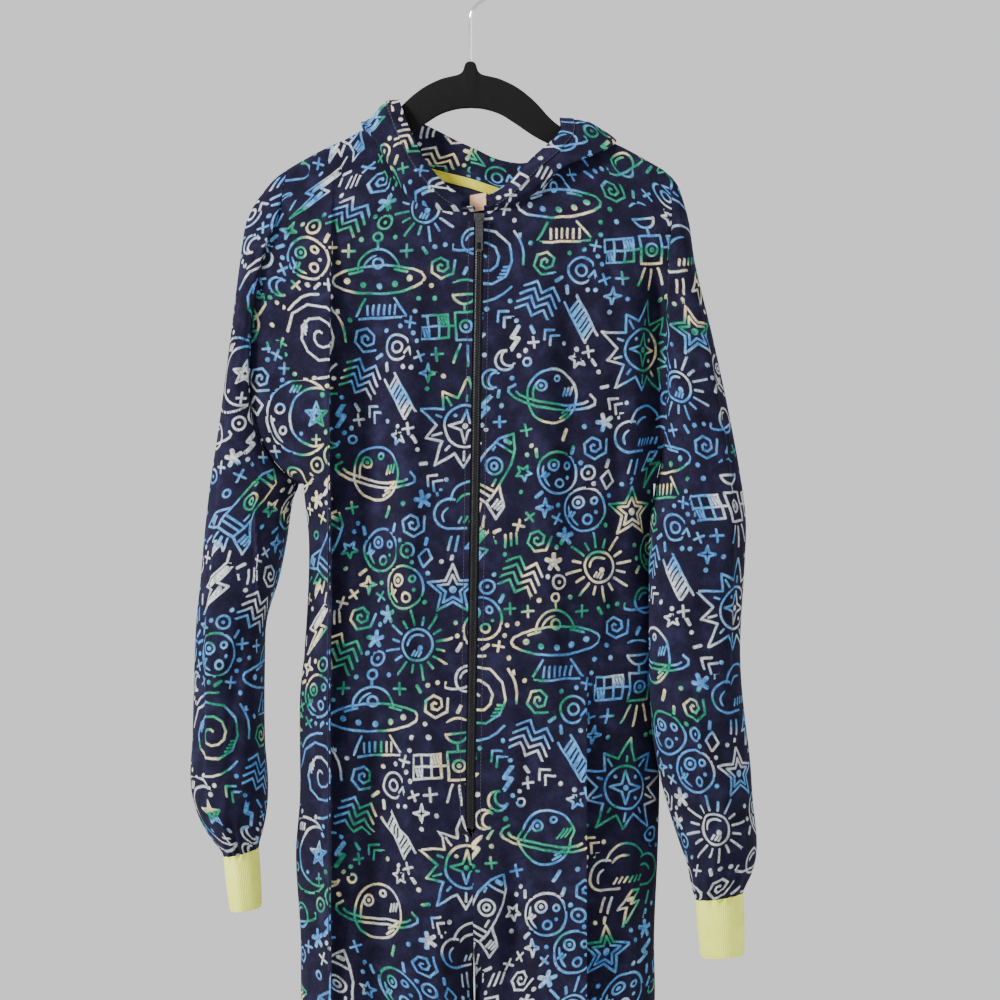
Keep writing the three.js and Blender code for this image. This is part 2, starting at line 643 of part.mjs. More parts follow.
// The shares of a panel's columns on one row.
function columnShares(side, face, z) {
  const counts = face === 'front' ? FRONT_COLUMNS : BACK_COLUMNS;
  const level = Math.max(z, CROTCH_Z);
  const neck = shareAt(side, face, level, NECK_POINT_X[side]);
  const foldX = read(FOLD_COLUMN_OF_SIDE[side], 'z', 'x', level);
  const before = Math.max(neck + 0.03, shareAt(side, face, level, foldX - FOLD_COLUMN_HALF));
  const after = Math.max(before + 0.02, shareAt(side, face, level, foldX + FOLD_COLUMN_HALF));
  const shares = [];
  for (let i = 0; i < counts.neck; i += 1) {
    shares.push(neck * (1 - (1 - i / counts.neck) ** NECK_COLUMN_CROWDING));
  }
  for (let i = 0; i < counts.middle; i += 1) {
    shares.push(neck + ((before - neck) * i) / counts.middle);
  }
  shares.push(before);
  for (let i = 0; i <= counts.outer; i += 1) {
    shares.push(after + ((1 - after) * i) / counts.outer);
  }
  const leg = isTrouser(z);
  return shares.map((share, i) => share + (i / (shares.length - 1) - share) * leg);
}

function necklineZ(side, face, x) {
  const distance = Math.abs(x);
  if (distance >= NECK_POINT_X[side]) {
    return read(RIDGE, 'x', side, distance);
  }
  return read(NECKLINE_OF_SIDE[side], 'x', face, distance);
}

// The points of a panel in rows, from the neck and shoulder down to the ankle.
function panelPoints(side, face) {
  const topLevel = ARMHOLE[0].z;
  const topShares = columnShares(side, face, topLevel);
  const top = topShares.map((t) => {
    const x = bodyPoint(side, face, t, topLevel).x;
    return necklineZ(side, face, x);
  });
  const rollEnd = ROLL_DEPTHS[ROLL_DEPTHS.length - 1];
  const rows = ROLL_DEPTHS.map((depth) =>
    top.map((z, i) => bodyPoint(side, face, topShares[i], z - depth)),
  );
  ROLL_SHARES.forEach((share) => {
    rows.push(
      top.map((z, i) => {
        const height = z - rollEnd + (CHEST_ROW_Z - z + rollEnd) * share;
        return bodyPoint(side, face, topShares[i], height);
      }),
    );
  });
  PANEL_ROWS.forEach((z) => {
    rows.push(columnShares(side, face, z).map((t) => bodyPoint(side, face, t, z)));
  });
  return rows;
}

// The directions of a panel's points, made equal where two panels meet.
function panelNormals(side, face, points) {
  const normals = gridNormals(points, false, (n) => n.y * faceSign(face) > 0);
  const sign = mirrorSign(side);
  const columns = points[0].length;
  const neckColumns = FRONT_COLUMNS.neck;
  points.forEach((row, r) => {
    const z = row[0].z;
    const outer = normals[r][columns - 1];
    if (r >= ARMHOLE_POINTS) {
      outer.set(sign, 0, outer.z).normalize();
    }
    const inner = normals[r][0];
    if (z > CROTCH_START_Z) {
      inner.setX(0).normalize();
    } else if (z <= CROTCH_Z) {
      inner.set(-sign, 0, inner.z * INSEAM_NORMAL_FALL).normalize();
    } else if (inner.x * sign > 0) {
      inner.setX(0).normalize();
    }
  });
  for (let c = neckColumns; c < columns; c += 1) {
    normals[0][c].set(sign * RIDGE_NORMAL.across, 0, RIDGE_NORMAL.up).normalize();
  }
  const { across, up } = SHOULDER_POINT_NORMAL;
  normals[0][columns - 1].set(sign * across, 0, up).normalize();
  normals[ARMHOLE_POINTS - 1][columns - 1].set(0, 0, -1);
  return normals;
}

// Moves a panel's edges back from its seams by half the gap.
function partSeams(side, face, outer, inner) {
  const sign = mirrorSign(side);
  const away = faceSign(face) * HALF_GAP;
  const columns = outer[0].length;
  [outer, inner].forEach((grid) => {
    grid.forEach((row, r) => {
      const edge = row[columns - 1];
      edge.y += r >= ARMHOLE_POINTS - 1 ? away : 0;
      edge.x -= r < ARMHOLE_POINTS ? sign * HALF_GAP : 0;
      if (row[0].z <= CROTCH_Z) {
        row[0].y += away;
      }
    });
    for (let c = FRONT_COLUMNS.neck; c < columns; c += 1) {
      grid[0][c].y += away;
    }
  });
}

function buildPanel(name, side, face, color) {
  const outer = panelPoints(side, face);
  const normals = panelNormals(side, face, outer);
  const inner = inward(outer, normals, WALL);
  partSeams(side, face, outer, inner);
  return wallMesh(name, outer, inner, false, color);
}

// How far a sleeve's folds move a point out.
function sleeveFoldRise(side, face, share, z) {
  return SLEEVE_FOLDS_OF_SIDE[side].reduce((sum, fold) => {
    if (fold.face !== face || z > fold.top || z < fold.foot) {
      return sum;
    }
    const run = (fold.top - z) / (fold.top - fold.foot);
    const centre = fold.topShare + (fold.footShare - fold.topShare) * run;
    const strength = Math.sin(Math.PI * run) ** 0.7;
    return sum + fold.rise * strength * Math.exp(-(((share - centre) / fold.width) ** 2));
  }, 0);
}

// A point of a sleeve at a height; share runs from the inner side or seam (0) to the outer (1).
function sleevePoint(side, face, share, z, seamDepth) {
  const table = SLEEVE_OF_SIDE[side];
  const outer = read(table, 'z', 'outer', z);
  const low = ease(UNDERARM_Z, SLEEVE_JOIN_Z, z);
  const inner = z > UNDERARM_Z ? read(ARMHOLE, 'z', side, z) : read(table, 'z', 'inner', z);
  const half = read(table, 'z', 'half', z);
  const leanShare = share + (1 - share) * ease(UNDERARM_Z, SLEEVE_LEAN_Z, z);
  const lean = read(table, 'z', 'lean', z) * leanShare;
  const toSeam = (1 - share) ** 2;
  const upperDepth = seamDepth * toSeam + half * (1 - toSeam);
  const upper = upperDepth * Math.sqrt(Math.max(0, 1 - share ** SLEEVE_SQUARENESS));
  const across = Math.abs(2 * share - 1);
  const lower = half * Math.sqrt(Math.max(0, 1 - across ** SLEEVE_SQUARENESS));
  const depth = upper + (lower - upper) * low;
  const fold = sleeveFoldRise(side, face, share, z) * Math.min(1, depth / (0.5 * half));
  const y = lean + faceSign(face) * (depth + fold);
  return vector(inner + (outer - inner) * share, y, z);
}

// The armhole loop: the front from the shoulder down, then the back up again.
function armholeLoop(side) {
  const grids = ['front', 'back'].map((face) => {
    const points = panelPoints(side, face);
    const normals = panelNormals(side, face, points);
    const last = points[0].length - 1;
    return points.slice(0, ARMHOLE_POINTS).map((row, r) => ({
      face,
      point: row[last].clone(),
      normal: normals[r][last].clone(),
      index: r,
    }));
  });
  const [front, back] = grids;
  return [...front, ...back.slice(1, ARMHOLE_POINTS - 1).reverse()];
}

function sleeveRings(side) {
  const sign = mirrorSign(side);
  const loop = armholeLoop(side);
  const topZ = loop[0].point.z;
  const fall = (z) => (topZ - z) / (topZ - UNDERARM_Z);
  const finalShare = (entry) => {
    const mix = 0.4 * (entry.index / (ARMHOLE_POINTS - 1)) + 0.6 * fall(entry.point.z);
    return (1 + Math.cos(Math.PI * mix)) / 2;
  };
  const rings = [
    loop.map((entry) => entry.point.clone().add(vector(sign * ARMHOLE_STAND, 0, 0))),
  ];
  SLEEVE_FAN_SHARES.forEach((way) => {
    rings.push(
      loop.map((entry) => {
        const start = entry.point.z;
        const z = start + (SLEEVE_JOIN_Z - start) * way;
        const upperShare = start >= topZ ? 1 : Math.max(0, 1 - fall(start) / fall(z));
        const atArm = 1 - fall(start);
        const low = ease(UNDERARM_Z, SLEEVE_JOIN_Z, z);
        const share = z > UNDERARM_Z ? upperShare : atArm + (finalShare(entry) - atArm) * low;
        const seam = z > UNDERARM_Z ? bodyPoint(side, entry.face, 1, z).y : 0;
        return sleevePoint(side, entry.face, share, z, Math.abs(seam));
      }),
    );
  });
  const cuff = WRIST_CUFF_OF_SIDE[side];
  const end = SLEEVE_OF_SIDE[side][SLEEVE_OF_SIDE[side].length - 1];
  const middle = (end.outer + end.inner) / 2;
  SLEEVE_RING_SHARES.forEach((part) => {
    const z = SLEEVE_JOIN_Z + (end.z - SLEEVE_JOIN_Z) * part;
    const slant = cuff.slant * ease(0.7, 1, part);
    rings.push(
      loop.map((entry) => {
        const point = sleevePoint(side, entry.face, finalShare(entry), z, 0);
        point.z += slant * (point.x - middle);
        return point;
      }),
    );
  });
  return { rings, loop };
}

function buildSleeve(name, side, color) {
  const { rings, loop } = sleeveRings(side);
  const normals = gridNormals(rings, true, () => true);
  const last = rings.length - 1;
  const middle = centreOf(rings[last]);
  const probe = rings[last][0].clone().sub(middle);
  if (normals[last - 3][0].dot(probe) < 0) {
    normals.forEach((row) => row.forEach((normal) => normal.negate()));
  }
  loop.forEach((entry, c) => {
    normals[0][c].copy(entry.normal);
    const radial = rings[last][c].clone().sub(middle);
    radial.z = WRIST_CUFF_OF_SIDE[side].slant * radial.x;
    normals[last][c].copy(radial.normalize());
  });
  const inner = inward(rings, normals, WALL);
  return wallMesh(name, rings, inner, true, color);
}

function centreOf(points) {
  const sum = points.reduce((total, p) => total.add(p), vector(0, 0, 0));
  return sum.multiplyScalar(1 / points.length);
}

// A rib cuff below a ring: the ring's outline taken down, with a slight waist and a turned hem.
function buildCuff(name, topRing, length, shift, slant, taper, color) {
  const middle = centreOf(topRing);
  const steps = [0, 0.5, 1];
  const width = (share) => 1 + (taper - 1) * share + 0.03 * Math.sin(Math.PI * share);
  const ring = (share, grow) =>
    topRing.map((p) => {
      const away = p.clone().sub(middle);
      away.z = 0;
      const reach = away.length();
      away.multiplyScalar((reach * width(share) + grow) / reach);
      const flat = slant * (1 - 0.5 * share);
      return vector(
        middle.x + shift * share + away.x,
        middle.y + away.y,
        middle.z - SEAM_GAP - length * share + flat * away.x,
      );
    });
  const outer = steps.map((share) => ring(share, 0));
  const inner = steps.map((share) => ring(share, -RIB_WALL));
  return wallMesh(name, outer, inner, true, color);
}

// The end of a leg, as a ring round both panels' last rows.
function legEndRing(side) {
  const ring = [];
  const steps = 12;
  for (let i = 0; i < 2 * steps; i += 1) {
    const face = i < steps ? 'front' : 'back';
    const t = i < steps ? i / steps : 1 - (i - steps) / steps;
    ring.push(bodyPoint(side, face, t, LEG_END_Z));
  }
  return ring;
}

// The neck seam of one side, from the zip over the shoulder to the middle of the back.
function neckSeam(side) {
  const list = [];
  ['front', 'back'].forEach((face) => {
    const points = panelPoints(side, face);
    const normals = panelNormals(side, face, points);
    const count = FRONT_COLUMNS.neck;
    const part = [];
    for (let c = 0; c <= count; c += 1) {
      part.push({ point: points[0][c].clone(), normal: normals[0][c].clone() });
    }
    if (face === 'front') {
      list.push(...part);
    } else {
      list.push(...part.slice(0, count).reverse());
    }
  });
  return list;
}

function curveThrough(points, share) {
  const last = points.length - 1;
  const where = clamp01(share) * last;
  const i = Math.min(last - 1, Math.floor(where));
  const s = where - i;
  const at = (k) => points[Math.min(last, Math.max(0, k))];
  const blend = (a, b, c, d) =>
    0.5 * (2 * b + (c - a) * s + (2 * a - 5 * b + 4 * c - d) * s * s + (3 * b - a - 3 * c + d) * s ** 3);
  const [a, b, c, d] = [at(i - 1), at(i), at(i + 1), at(i + 2)];
  return vector(blend(a.x, b.x, c.x, d.x), blend(a.y, b.y, c.y, d.y), blend(a.z, b.z, c.z, d.z));
}

// The points of one half of the hood: a row for each step from the neck seam to the face edge.
function hoodPoints(side) {
  const seam = neckSeam(side);
  const table = HOOD_OF_SIDE[side];
  return HOOD_STEPS.map((step) =>
    seam.map((entry, i) => {
      const place = i / (seam.length - 1);
      const value = (column) => read(table, 'place', column, place);
      const start = entry.point.clone().add(vector(-mirrorSign(side) * HALF_GAP, 0, SEAM_GAP));
      const lift = entry.normal.clone().multiplyScalar(HOOD_TURN_UP);
      lift.z += HOOD_SEAM_LIFT;
      const path = [
        start,
        start.clone().add(lift),
        vector(value('crestX'), value('crestY'), value('crestZ')),
        vector(value('bagX'), value('bagY'), value('bagZ')),
        vector(value('edgeX'), value('edgeY'), value('edgeZ')),
      ];
      return curveThrough(path, step);
    }),
  );
}

function buildHood(name, side, color) {
  const points = hoodPoints(side);
  const seam = neckSeam(side);
  const normals = gridNormals(points, false, () => true);
  if (normals[1][1].y > 0) {
    normals.forEach((row) => row.forEach((normal) => normal.negate()));
  }
  seam.forEach((entry, c) => {
    normals[0][c].copy(entry.normal);
  });
  const last = seam.length - 1;
  const sign = mirrorSign(side);
  points.forEach((row, r) => {
    normals[r][last].setX(0).normalize();
  });
  const inner = inward(points, normals, WALL);
  [points, inner].forEach((grid) => {
    grid.forEach((row) => {
      row[last].x = sign * HALF_GAP;
    });
  });
  return wallMesh(name, points, inner, false, color);
}

// A tape along the inside of the back neck seam, and the label that hangs from it.
function buildNeckTape(name, color) {
  const left = neckSeam('left').slice(FRONT_COLUMNS.neck + 1);
  const right = neckSeam('right').slice(FRONT_COLUMNS.neck + 1).reverse();
  const seam = [...left, ...right.slice(1)];
  const levels = [-TAPE_TOP, -TAPE_WIDTH / 2, -TAPE_WIDTH];
  const face = levels.map((drop) =>
    seam.map(({ point }) => {
      const side = point.x < 0 ? 'left' : 'right';
      const z = point.z + drop;
      const t = shareAt(side, 'back', z, Math.abs(point.x));
      const y = bodyPoint(side, 'back', t, Math.min(z, point.z)).y;
      return vector(point.x, y - WALL - TAPE_CLEAR, z);
    }),
  );
  const front = face.map((row) => row.map((p) => p.clone().add(vector(0, -TAPE_WALL, 0))));
  return wallMesh(name, face, front, false, color);
}

function buildLabel(name, color) {
  const tapeFrontY = bodyPoint('right', 'back', 0, LABEL_TOP_Z).y - WALL - TAPE_CLEAR - TAPE_WALL;
  const backY = tapeFrontY - LABEL_CLEAR;
  const rows = [0, 0.5, 1].map((share) =>
    [-0.5, 0.5].map((across) =>
      vector(
        LABEL_X + across * LABEL_WIDTH,
        backY - LABEL_TIP_FORWARD * share,
        LABEL_TOP_Z - LABEL_HEIGHT * share + LABEL_SLANT * across,
      ),
    ),
  );
  const front = rows.map((row) => row.map((p) => p.clone().add(vector(0, -LABEL_THICKNESS, 0))));
  return wallMesh(name, rows, front, false, color);
}

// The zip's closed chain on its tape, between the two front edges.
function zipFaceY(z) {
  const left = bodyPoint('left', 'front', 0, z).y;
  const right = bodyPoint('right', 'front', 0, z).y;
  return (left + right) / 2;
}

function buildZipChain(name, color) {
  const levels = [ZIP_TOP_Z, ...PANEL_ROWS.filter((z) => z > ZIP_END_Z), ZIP_END_Z + SEAM_GAP];
  const grid = (inset, rise) =>
    levels.map((z) => {
      const centre = read(BODY, 'z', 'centre', z);
      const y = zipFaceY(z) + inset;
      return [-ZIP_HALF_WIDTH, 0, ZIP_HALF_WIDTH].map((x) =>
        vector(centre + x, y - (x === 0 ? rise : 0), z),
      );
    });
  const front = grid(ZIP_INSET, ZIP_COIL_RISE);
  const back = grid(ZIP_INSET + ZIP_THICKNESS, 0);
  return wallMesh(name, front, back, false, color);
}

// Joining and cutting of small hard pieces.
function toManifold(geometry) {
  const bare = new THREE.BufferGeometry();
  bare.setAttribute('position', geometry.getAttribute('position').clone());
  if (geometry.getIndex()) {
    bare.setIndex(geometry.getIndex().clone());
  }
  const merged = mergeVertices(bare, 1e-4);
  return new wasm.Manifold(
    new wasm.Mesh({
      numProp: 3,
      vertProperties: Float32Array.from(merged.getAttribute('position').array),
      triVerts: Uint32Array.from(merged.getIndex().array),
    }),
  );
}

function fromManifold(manifold) {
  const mesh = manifold.getMesh();
  const geometry = new THREE.BufferGeometry();
  geometry.setAttribute('position', new THREE.Float32BufferAttribute(mesh.vertProperties, 3));
  geometry.setIndex(Array.from(mesh.triVerts));
  return geometry;
}

function fuse(parts) {
  return fromManifold(wasm.Manifold.union(parts.map(toManifold)));
}

function cut(whole, tool) {
  return fromManifold(wasm.Manifold.difference(toManifold(whole), toManifold(tool)));
}

// A box given by its ranges.
function box(x0, x1, y0, y1, z0, z1) {
  const geometry = new THREE.BoxGeometry(x1 - x0, y1 - y0, z1 - z0);
  geometry.translate((x0 + x1) / 2, (y0 + y1) / 2, (z0 + z1) / 2);
  return geometry;
}

// An outline in the XZ plane drawn out along Y.
function plate(shape, y0, y1, segments) {
  const geometry = new THREE.ExtrudeGeometry(shape, {
    depth: y1 - y0,
    bevelEnabled: false,
    curveSegments: segments,
  });
  geometry.rotateX(Math.PI / 2);
  geometry.translate(0, y1, 0);
  return geometry;
}

// Where the slider's plate and the pull's bar stand in front of the chain.
function zipPullPlace() {
  const centre = read(BODY, 'z', 'centre', BAIL_Z);
  const chainY = zipFaceY(SLIDER_TOP_Z - SLIDER_HEIGHT) + ZIP_INSET - ZIP_COIL_RISE;
  const plateFrontY = chainY - SEAM_GAP - SLIDER_PLATE;
  return { centre, chainY, plateFrontY, bailY: plateFrontY - BAIL_STAND };
}

function buildSlider(name, color) {
  const { centre, chainY, plateFrontY, bailY } = zipPullPlace();
  const half = SLIDER_WIDTH / 2;
  const shoulderZ = SLIDER_TOP_Z - SLIDER_HEIGHT * SLIDER_SHOULDER;
  const footZ = SLIDER_TOP_Z - SLIDER_HEIGHT;
  const shape = new THREE.Shape();
  shape.moveTo(centre - half, SLIDER_TOP_Z);
  shape.lineTo(centre - half, shoulderZ);
  shape.lineTo(centre - half * SLIDER_FOOT, footZ);
  shape.lineTo(centre + half * SLIDER_FOOT, footZ);
  shape.lineTo(centre + half, shoulderZ);
  shape.lineTo(centre + half, SLIDER_TOP_Z);
  shape.closePath();
  const body = plate(shape, plateFrontY, chainY - SEAM_GAP, 1);
  const barLength = 2 * BAIL_HALF_SPAN + 1.6 * BAIL_POST_WIDTH;
  const bar = new THREE.CylinderGeometry(BAIL_RADIUS, BAIL_RADIUS, barLength, 10);
  bar.rotateZ(Math.PI / 2);
  bar.translate(centre, bailY, BAIL_Z);
  const posts = [-1, 1].map((side) => {
    const x = centre + side * (BAIL_HALF_SPAN + BAIL_POST_WIDTH / 2);
    return box(
      x - BAIL_POST_WIDTH / 2,
      x + BAIL_POST_WIDTH / 2,
      bailY - BAIL_POST_FRONT,
      plateFrontY + BAIL_POST_ROOT,
      BAIL_Z - BAIL_POST_HALF_HEIGHT,
      BAIL_Z + BAIL_POST_HALF_HEIGHT,
    );
  });
  return namedMesh(name, fuse([body, bar, ...posts]), color);
}

function buildTab(name, color) {
  const { centre, bailY } = zipPullPlace();
  const half = TAB_WIDTH / 2;
  const neck = BAIL_HALF_SPAN - SEAM_GAP;
  const reach = TAB_EYE_RADIUS + TAB_EYE_WALL;
  const top = BAIL_Z + reach;
  const foot = BAIL_Z - TAB_LENGTH;
  const neckZ = BAIL_Z - TAB_NECK_LENGTH;
  const shoulderZ = BAIL_Z - TAB_SHOULDER_LENGTH;
  const shape = new THREE.Shape();
  shape.moveTo(centre - neck, top);
  shape.lineTo(centre - neck, neckZ);
  shape.lineTo(centre - half, shoulderZ);
  shape.lineTo(centre - half, foot + TAB_CORNER);
  shape.lineTo(centre - half + TAB_CORNER, foot);
  shape.lineTo(centre + half - TAB_CORNER, foot);
  shape.lineTo(centre + half, foot + TAB_CORNER);
  shape.lineTo(centre + half, shoulderZ);
  shape.lineTo(centre + neck, neckZ);
  shape.lineTo(centre + neck, top);
  shape.closePath();
  const window = new THREE.Path();
  const wide = TAB_WINDOW_WIDTH / 2;
  const low = foot + TAB_WINDOW_FOOT;
  window.moveTo(centre - wide, low);
  window.lineTo(centre + wide, low);
  window.lineTo(centre + wide, low + TAB_WINDOW_HEIGHT);
  window.lineTo(centre - wide, low + TAB_WINDOW_HEIGHT);
  window.closePath();
  shape.holes.push(window);
  const blank = plate(shape, bailY - TAB_THICKNESS / 2, bailY + TAB_THICKNESS / 2, 1);
  const knuckle = new THREE.CylinderGeometry(reach, reach, 2 * neck, 14);
  knuckle.rotateZ(Math.PI / 2);
  knuckle.translate(centre, bailY, BAIL_Z);
  const bore = new THREE.CylinderGeometry(TAB_EYE_RADIUS, TAB_EYE_RADIUS, 2 * neck + 4, 14);
  bore.rotateZ(Math.PI / 2);
  bore.translate(centre, bailY, BAIL_Z);
  return namedMesh(name, cut(fuse([blank, knuckle]), bore), color);
}

// The hanger's flat body: two arms, an arch and the knob that holds the hook.
function buildHangerBody(name, color) {
  const side = (sign, column, from, to, step) => {
    const list = [];
    for (let i = from; i !== to + step; i += step) {
      list.push([sign * HANGER_EDGE[i].x, HANGER_EDGE[i][column]]);
    }
    return list;
  };
  const last = HANGER_EDGE.length - 1;
  const outline = [
    [KNOB_HALF_WIDTH, KNOB_TOP_Z],
    [KNOB_HALF_WIDTH + KNOB_FLARE, KNOB_TOP_Z - KNOB_HEIGHT],
    ...side(1, 'upper', 1, last, 1),
    ...side(1, 'lower', last, 0, -1),
    ...side(-1, 'lower', 1, last, 1),
    ...side(-1, 'upper', last, 1, -1),
    [-KNOB_HALF_WIDTH - KNOB_FLARE, KNOB_TOP_Z - KNOB_HEIGHT],
    [-KNOB_HALF_WIDTH, KNOB_TOP_Z],
  ];
  const shape = new THREE.Shape(outline.map(([x, z]) => new THREE.Vector2(x, z)));
  const flat = HANGER_HALF_THICKNESS - HANGER_EDGE_ROUND;
  const geometry = new THREE.ExtrudeGeometry(shape, {
    depth: 2 * flat,
    bevelEnabled: true,
    bevelThickness: HANGER_EDGE_ROUND,
    bevelSize: HANGER_EDGE_ROUND,
    bevelOffset: -HANGER_EDGE_ROUND,
    bevelSegments: 1,
  });
  geometry.rotateX(Math.PI / 2);
  geometry.translate(0, flat, 0);
  return namedMesh(name, geometry, color);
}

// The wire hook: up from the knob, out to the throat, and round over the rail.
class HookCurve extends THREE.Curve {
  constructor() {
    super();
    const both = HOOK_BEND_RADIUS + HOOK_THROAT_RADIUS;
    this.turn = Math.acos(HOOK_THROAT_RADIUS / both);
    this.centreZ = -(HOOK_BEND_RADIUS - HOOK_WIRE_RADIUS);
    this.bendStartZ = this.centreZ - both * Math.sin(this.turn);
    this.stemFootZ = KNOB_TOP_Z + SEAM_GAP;
    this.stem = this.bendStartZ - this.stemFootZ;
    this.throat = HOOK_THROAT_RADIUS * this.turn;
    const sweep = (HOOK_TAIL_DEGREES * Math.PI) / 180 + this.turn;
    this.sweep = sweep;
    this.total = this.stem + this.throat + HOOK_BEND_RADIUS * sweep;
  }

  getPoint(share, target = new THREE.Vector3()) {
    let left = share * this.total;
    if (left <= this.stem) {
      return target.set(0, 0, this.stemFootZ + left);
    }
    left -= this.stem;
    if (left <= this.throat) {
      const a = left / HOOK_THROAT_RADIUS;
      const x = HOOK_THROAT_RADIUS * (1 - Math.cos(a));
      return target.set(x, 0, this.bendStartZ + HOOK_THROAT_RADIUS * Math.sin(a));
    }
    left -= this.throat;
    const angle = -this.turn + left / HOOK_BEND_RADIUS;
    const shift = HOOK_THROAT_RADIUS - (HOOK_BEND_RADIUS + HOOK_THROAT_RADIUS) * Math.cos(this.turn);
    const x = shift + HOOK_BEND_RADIUS * Math.cos(angle);
    return target.set(x, 0, this.centreZ + HOOK_BEND_RADIUS * Math.sin(angle));
  }
}

function buildHook(name, color) {
  const section = new THREE.Shape();
  const sides = 6;
  for (let i = 0; i < sides; i += 1) {
    const angle = (2 * Math.PI * (i + 0.5)) / sides;
    const reach = HOOK_WIRE_RADIUS;
    const x = reach * Math.cos(angle);
    const y = reach * Math.sin(angle);
    if (i === 0) {
      section.moveTo(x, y);
    } else {
      section.lineTo(x, y);
    }
  }
  section.closePath();
  const geometry = new THREE.ExtrudeGeometry(section, {
    steps: 40,
    extrudePath: new HookCurve(),
    bevelEnabled: false,
  });
  return namedMesh(name, geometry, color);
}

const NAVY = '#2b2a4a';
const LIME = '#dedc85';
const TAPE_YELLOW = '#e0d66a';
const PEACH = '#e6b48c';
const ZIP_BLACK = '#17171b';
const SLIDER_GREY = '#3c3d42';
const FLOCK_BLACK = '#1c1b1d';
const CHROME = '#c9ccd0';

const onesie = new THREE.Group();
onesie.name = 'onesie';
onesie.add(buildPanel('front_right', 'left', 'front', NAVY));
onesie.add(buildPanel('front_left', 'right', 'front', NAVY));
onesie.add(buildPanel('back_right', 'left', 'back', NAVY));
onesie.add(buildPanel('back_left', 'right', 'back', NAVY));
onesie.add(buildSleeve('sleeve_right', 'left', NAVY));
onesie.add(buildSleeve('sleeve_left', 'right', NAVY));
[
  { side: 'left', name: 'cuff_wrist_right' },
  { side: 'right', name: 'cuff_wrist_left' },
].forEach(({ side, name }) => {
  const { rings } = sleeveRings(side);
  const cuff = WRIST_CUFF_OF_SIDE[side];
  const ring = rings[rings.length - 1];
  onesie.add(buildCuff(name, ring, cuff.length, cuff.shift, cuff.slant, cuff.taper, LIME));
});
onesie.add(buildCuff('cuff_ankle_right', legEndRing('left'), ANKLE_CUFF_LENGTH, 0, 0, 0.95, LIME));
onesie.add(buildCuff('cuff_ankle_left', legEndRing('right'), ANKLE_CUFF_LENGTH, 0, 0, 0.95, LIME));
onesie.add(buildHood('hood_right', 'left', NAVY));
onesie.add(buildHood('hood_left', 'right', NAVY));
onesie.add(buildNeckTape('neck_tape', TAPE_YELLOW));
onesie.add(buildLabel('label', PEACH));
onesie.add(buildZipChain('zip_chain', ZIP_BLACK));
onesie.add(buildSlider('zip_slider', SLIDER_GREY));
onesie.add(buildTab('zip_tab', SLIDER_GREY));
onesie.add(buildHangerBody('hanger_body', FLOCK_BLACK));
onesie.add(buildHook('hanger_hook', CHROME));

export default onesie;
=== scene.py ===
"""A child's hooded fleece onesie pajama that hangs on a flocked hanger, dressed on its fixed frame.

Sizes are worked out in millimetres and turned into metres where a mesh is made. +Z is up, the front
faces -Y, +X is the viewer's right.
"""

import math

import bpy
import numpy as np
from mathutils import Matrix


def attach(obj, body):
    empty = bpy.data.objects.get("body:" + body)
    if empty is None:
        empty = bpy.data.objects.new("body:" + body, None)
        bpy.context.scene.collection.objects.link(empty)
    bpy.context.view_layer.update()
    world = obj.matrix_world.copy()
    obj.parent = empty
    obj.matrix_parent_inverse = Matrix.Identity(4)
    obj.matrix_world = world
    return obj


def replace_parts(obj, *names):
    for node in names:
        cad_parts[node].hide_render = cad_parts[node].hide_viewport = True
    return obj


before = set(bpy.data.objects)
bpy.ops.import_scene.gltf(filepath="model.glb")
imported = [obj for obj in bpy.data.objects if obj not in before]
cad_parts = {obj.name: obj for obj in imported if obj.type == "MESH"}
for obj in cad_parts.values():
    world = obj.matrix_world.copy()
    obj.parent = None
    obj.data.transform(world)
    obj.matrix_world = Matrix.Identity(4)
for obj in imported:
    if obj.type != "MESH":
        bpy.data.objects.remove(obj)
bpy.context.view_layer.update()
MM = 0.001
BODY_NAME = "garment"
SIGN = {"left": -1, "right": 1}
OUT = {"front": -1, "back": 1}

# Cloth, seams and heights, as the solids have them.
WALL = 1.9
SEAM_GAP = 0.3
HALF_GAP = 0.03
BODY_SQUARENESS = 2.8
SLEEVE_SQUARENESS = 2.3
CHEST_ROW_Z = -248
UNDERARM_Z = -452
SLEEVE_JOIN_Z = -500
SLEEVE_LEAN_Z = -560
ZIP_TOP_Z = -219.8
ZIP_END_Z = -745
ZIP_CLOSED_Z = -752
CROTCH_START_Z = -815
CROTCH_Z = -905
LEG_END_Z = -1478
ANKLE_CUFF_LENGTH = 66
SHOULDER_ROLL = 7
ZIP_HALF_WIDTH = 4.0
NECK_POINT_X = {"left": 93, "right": 100}
NECK_COLUMN_CROWDING = 1.7
HOOD_TURN_UP = 3.6
HOOD_SEAM_LIFT = 3


def table(names, *rows):
    """Columns by name; the first column says where, and is put in rising order."""
    ordered = sorted(rows)
    return {key: np.array([row[i] for row in ordered], float) for i, key in enumerate(names.split())}


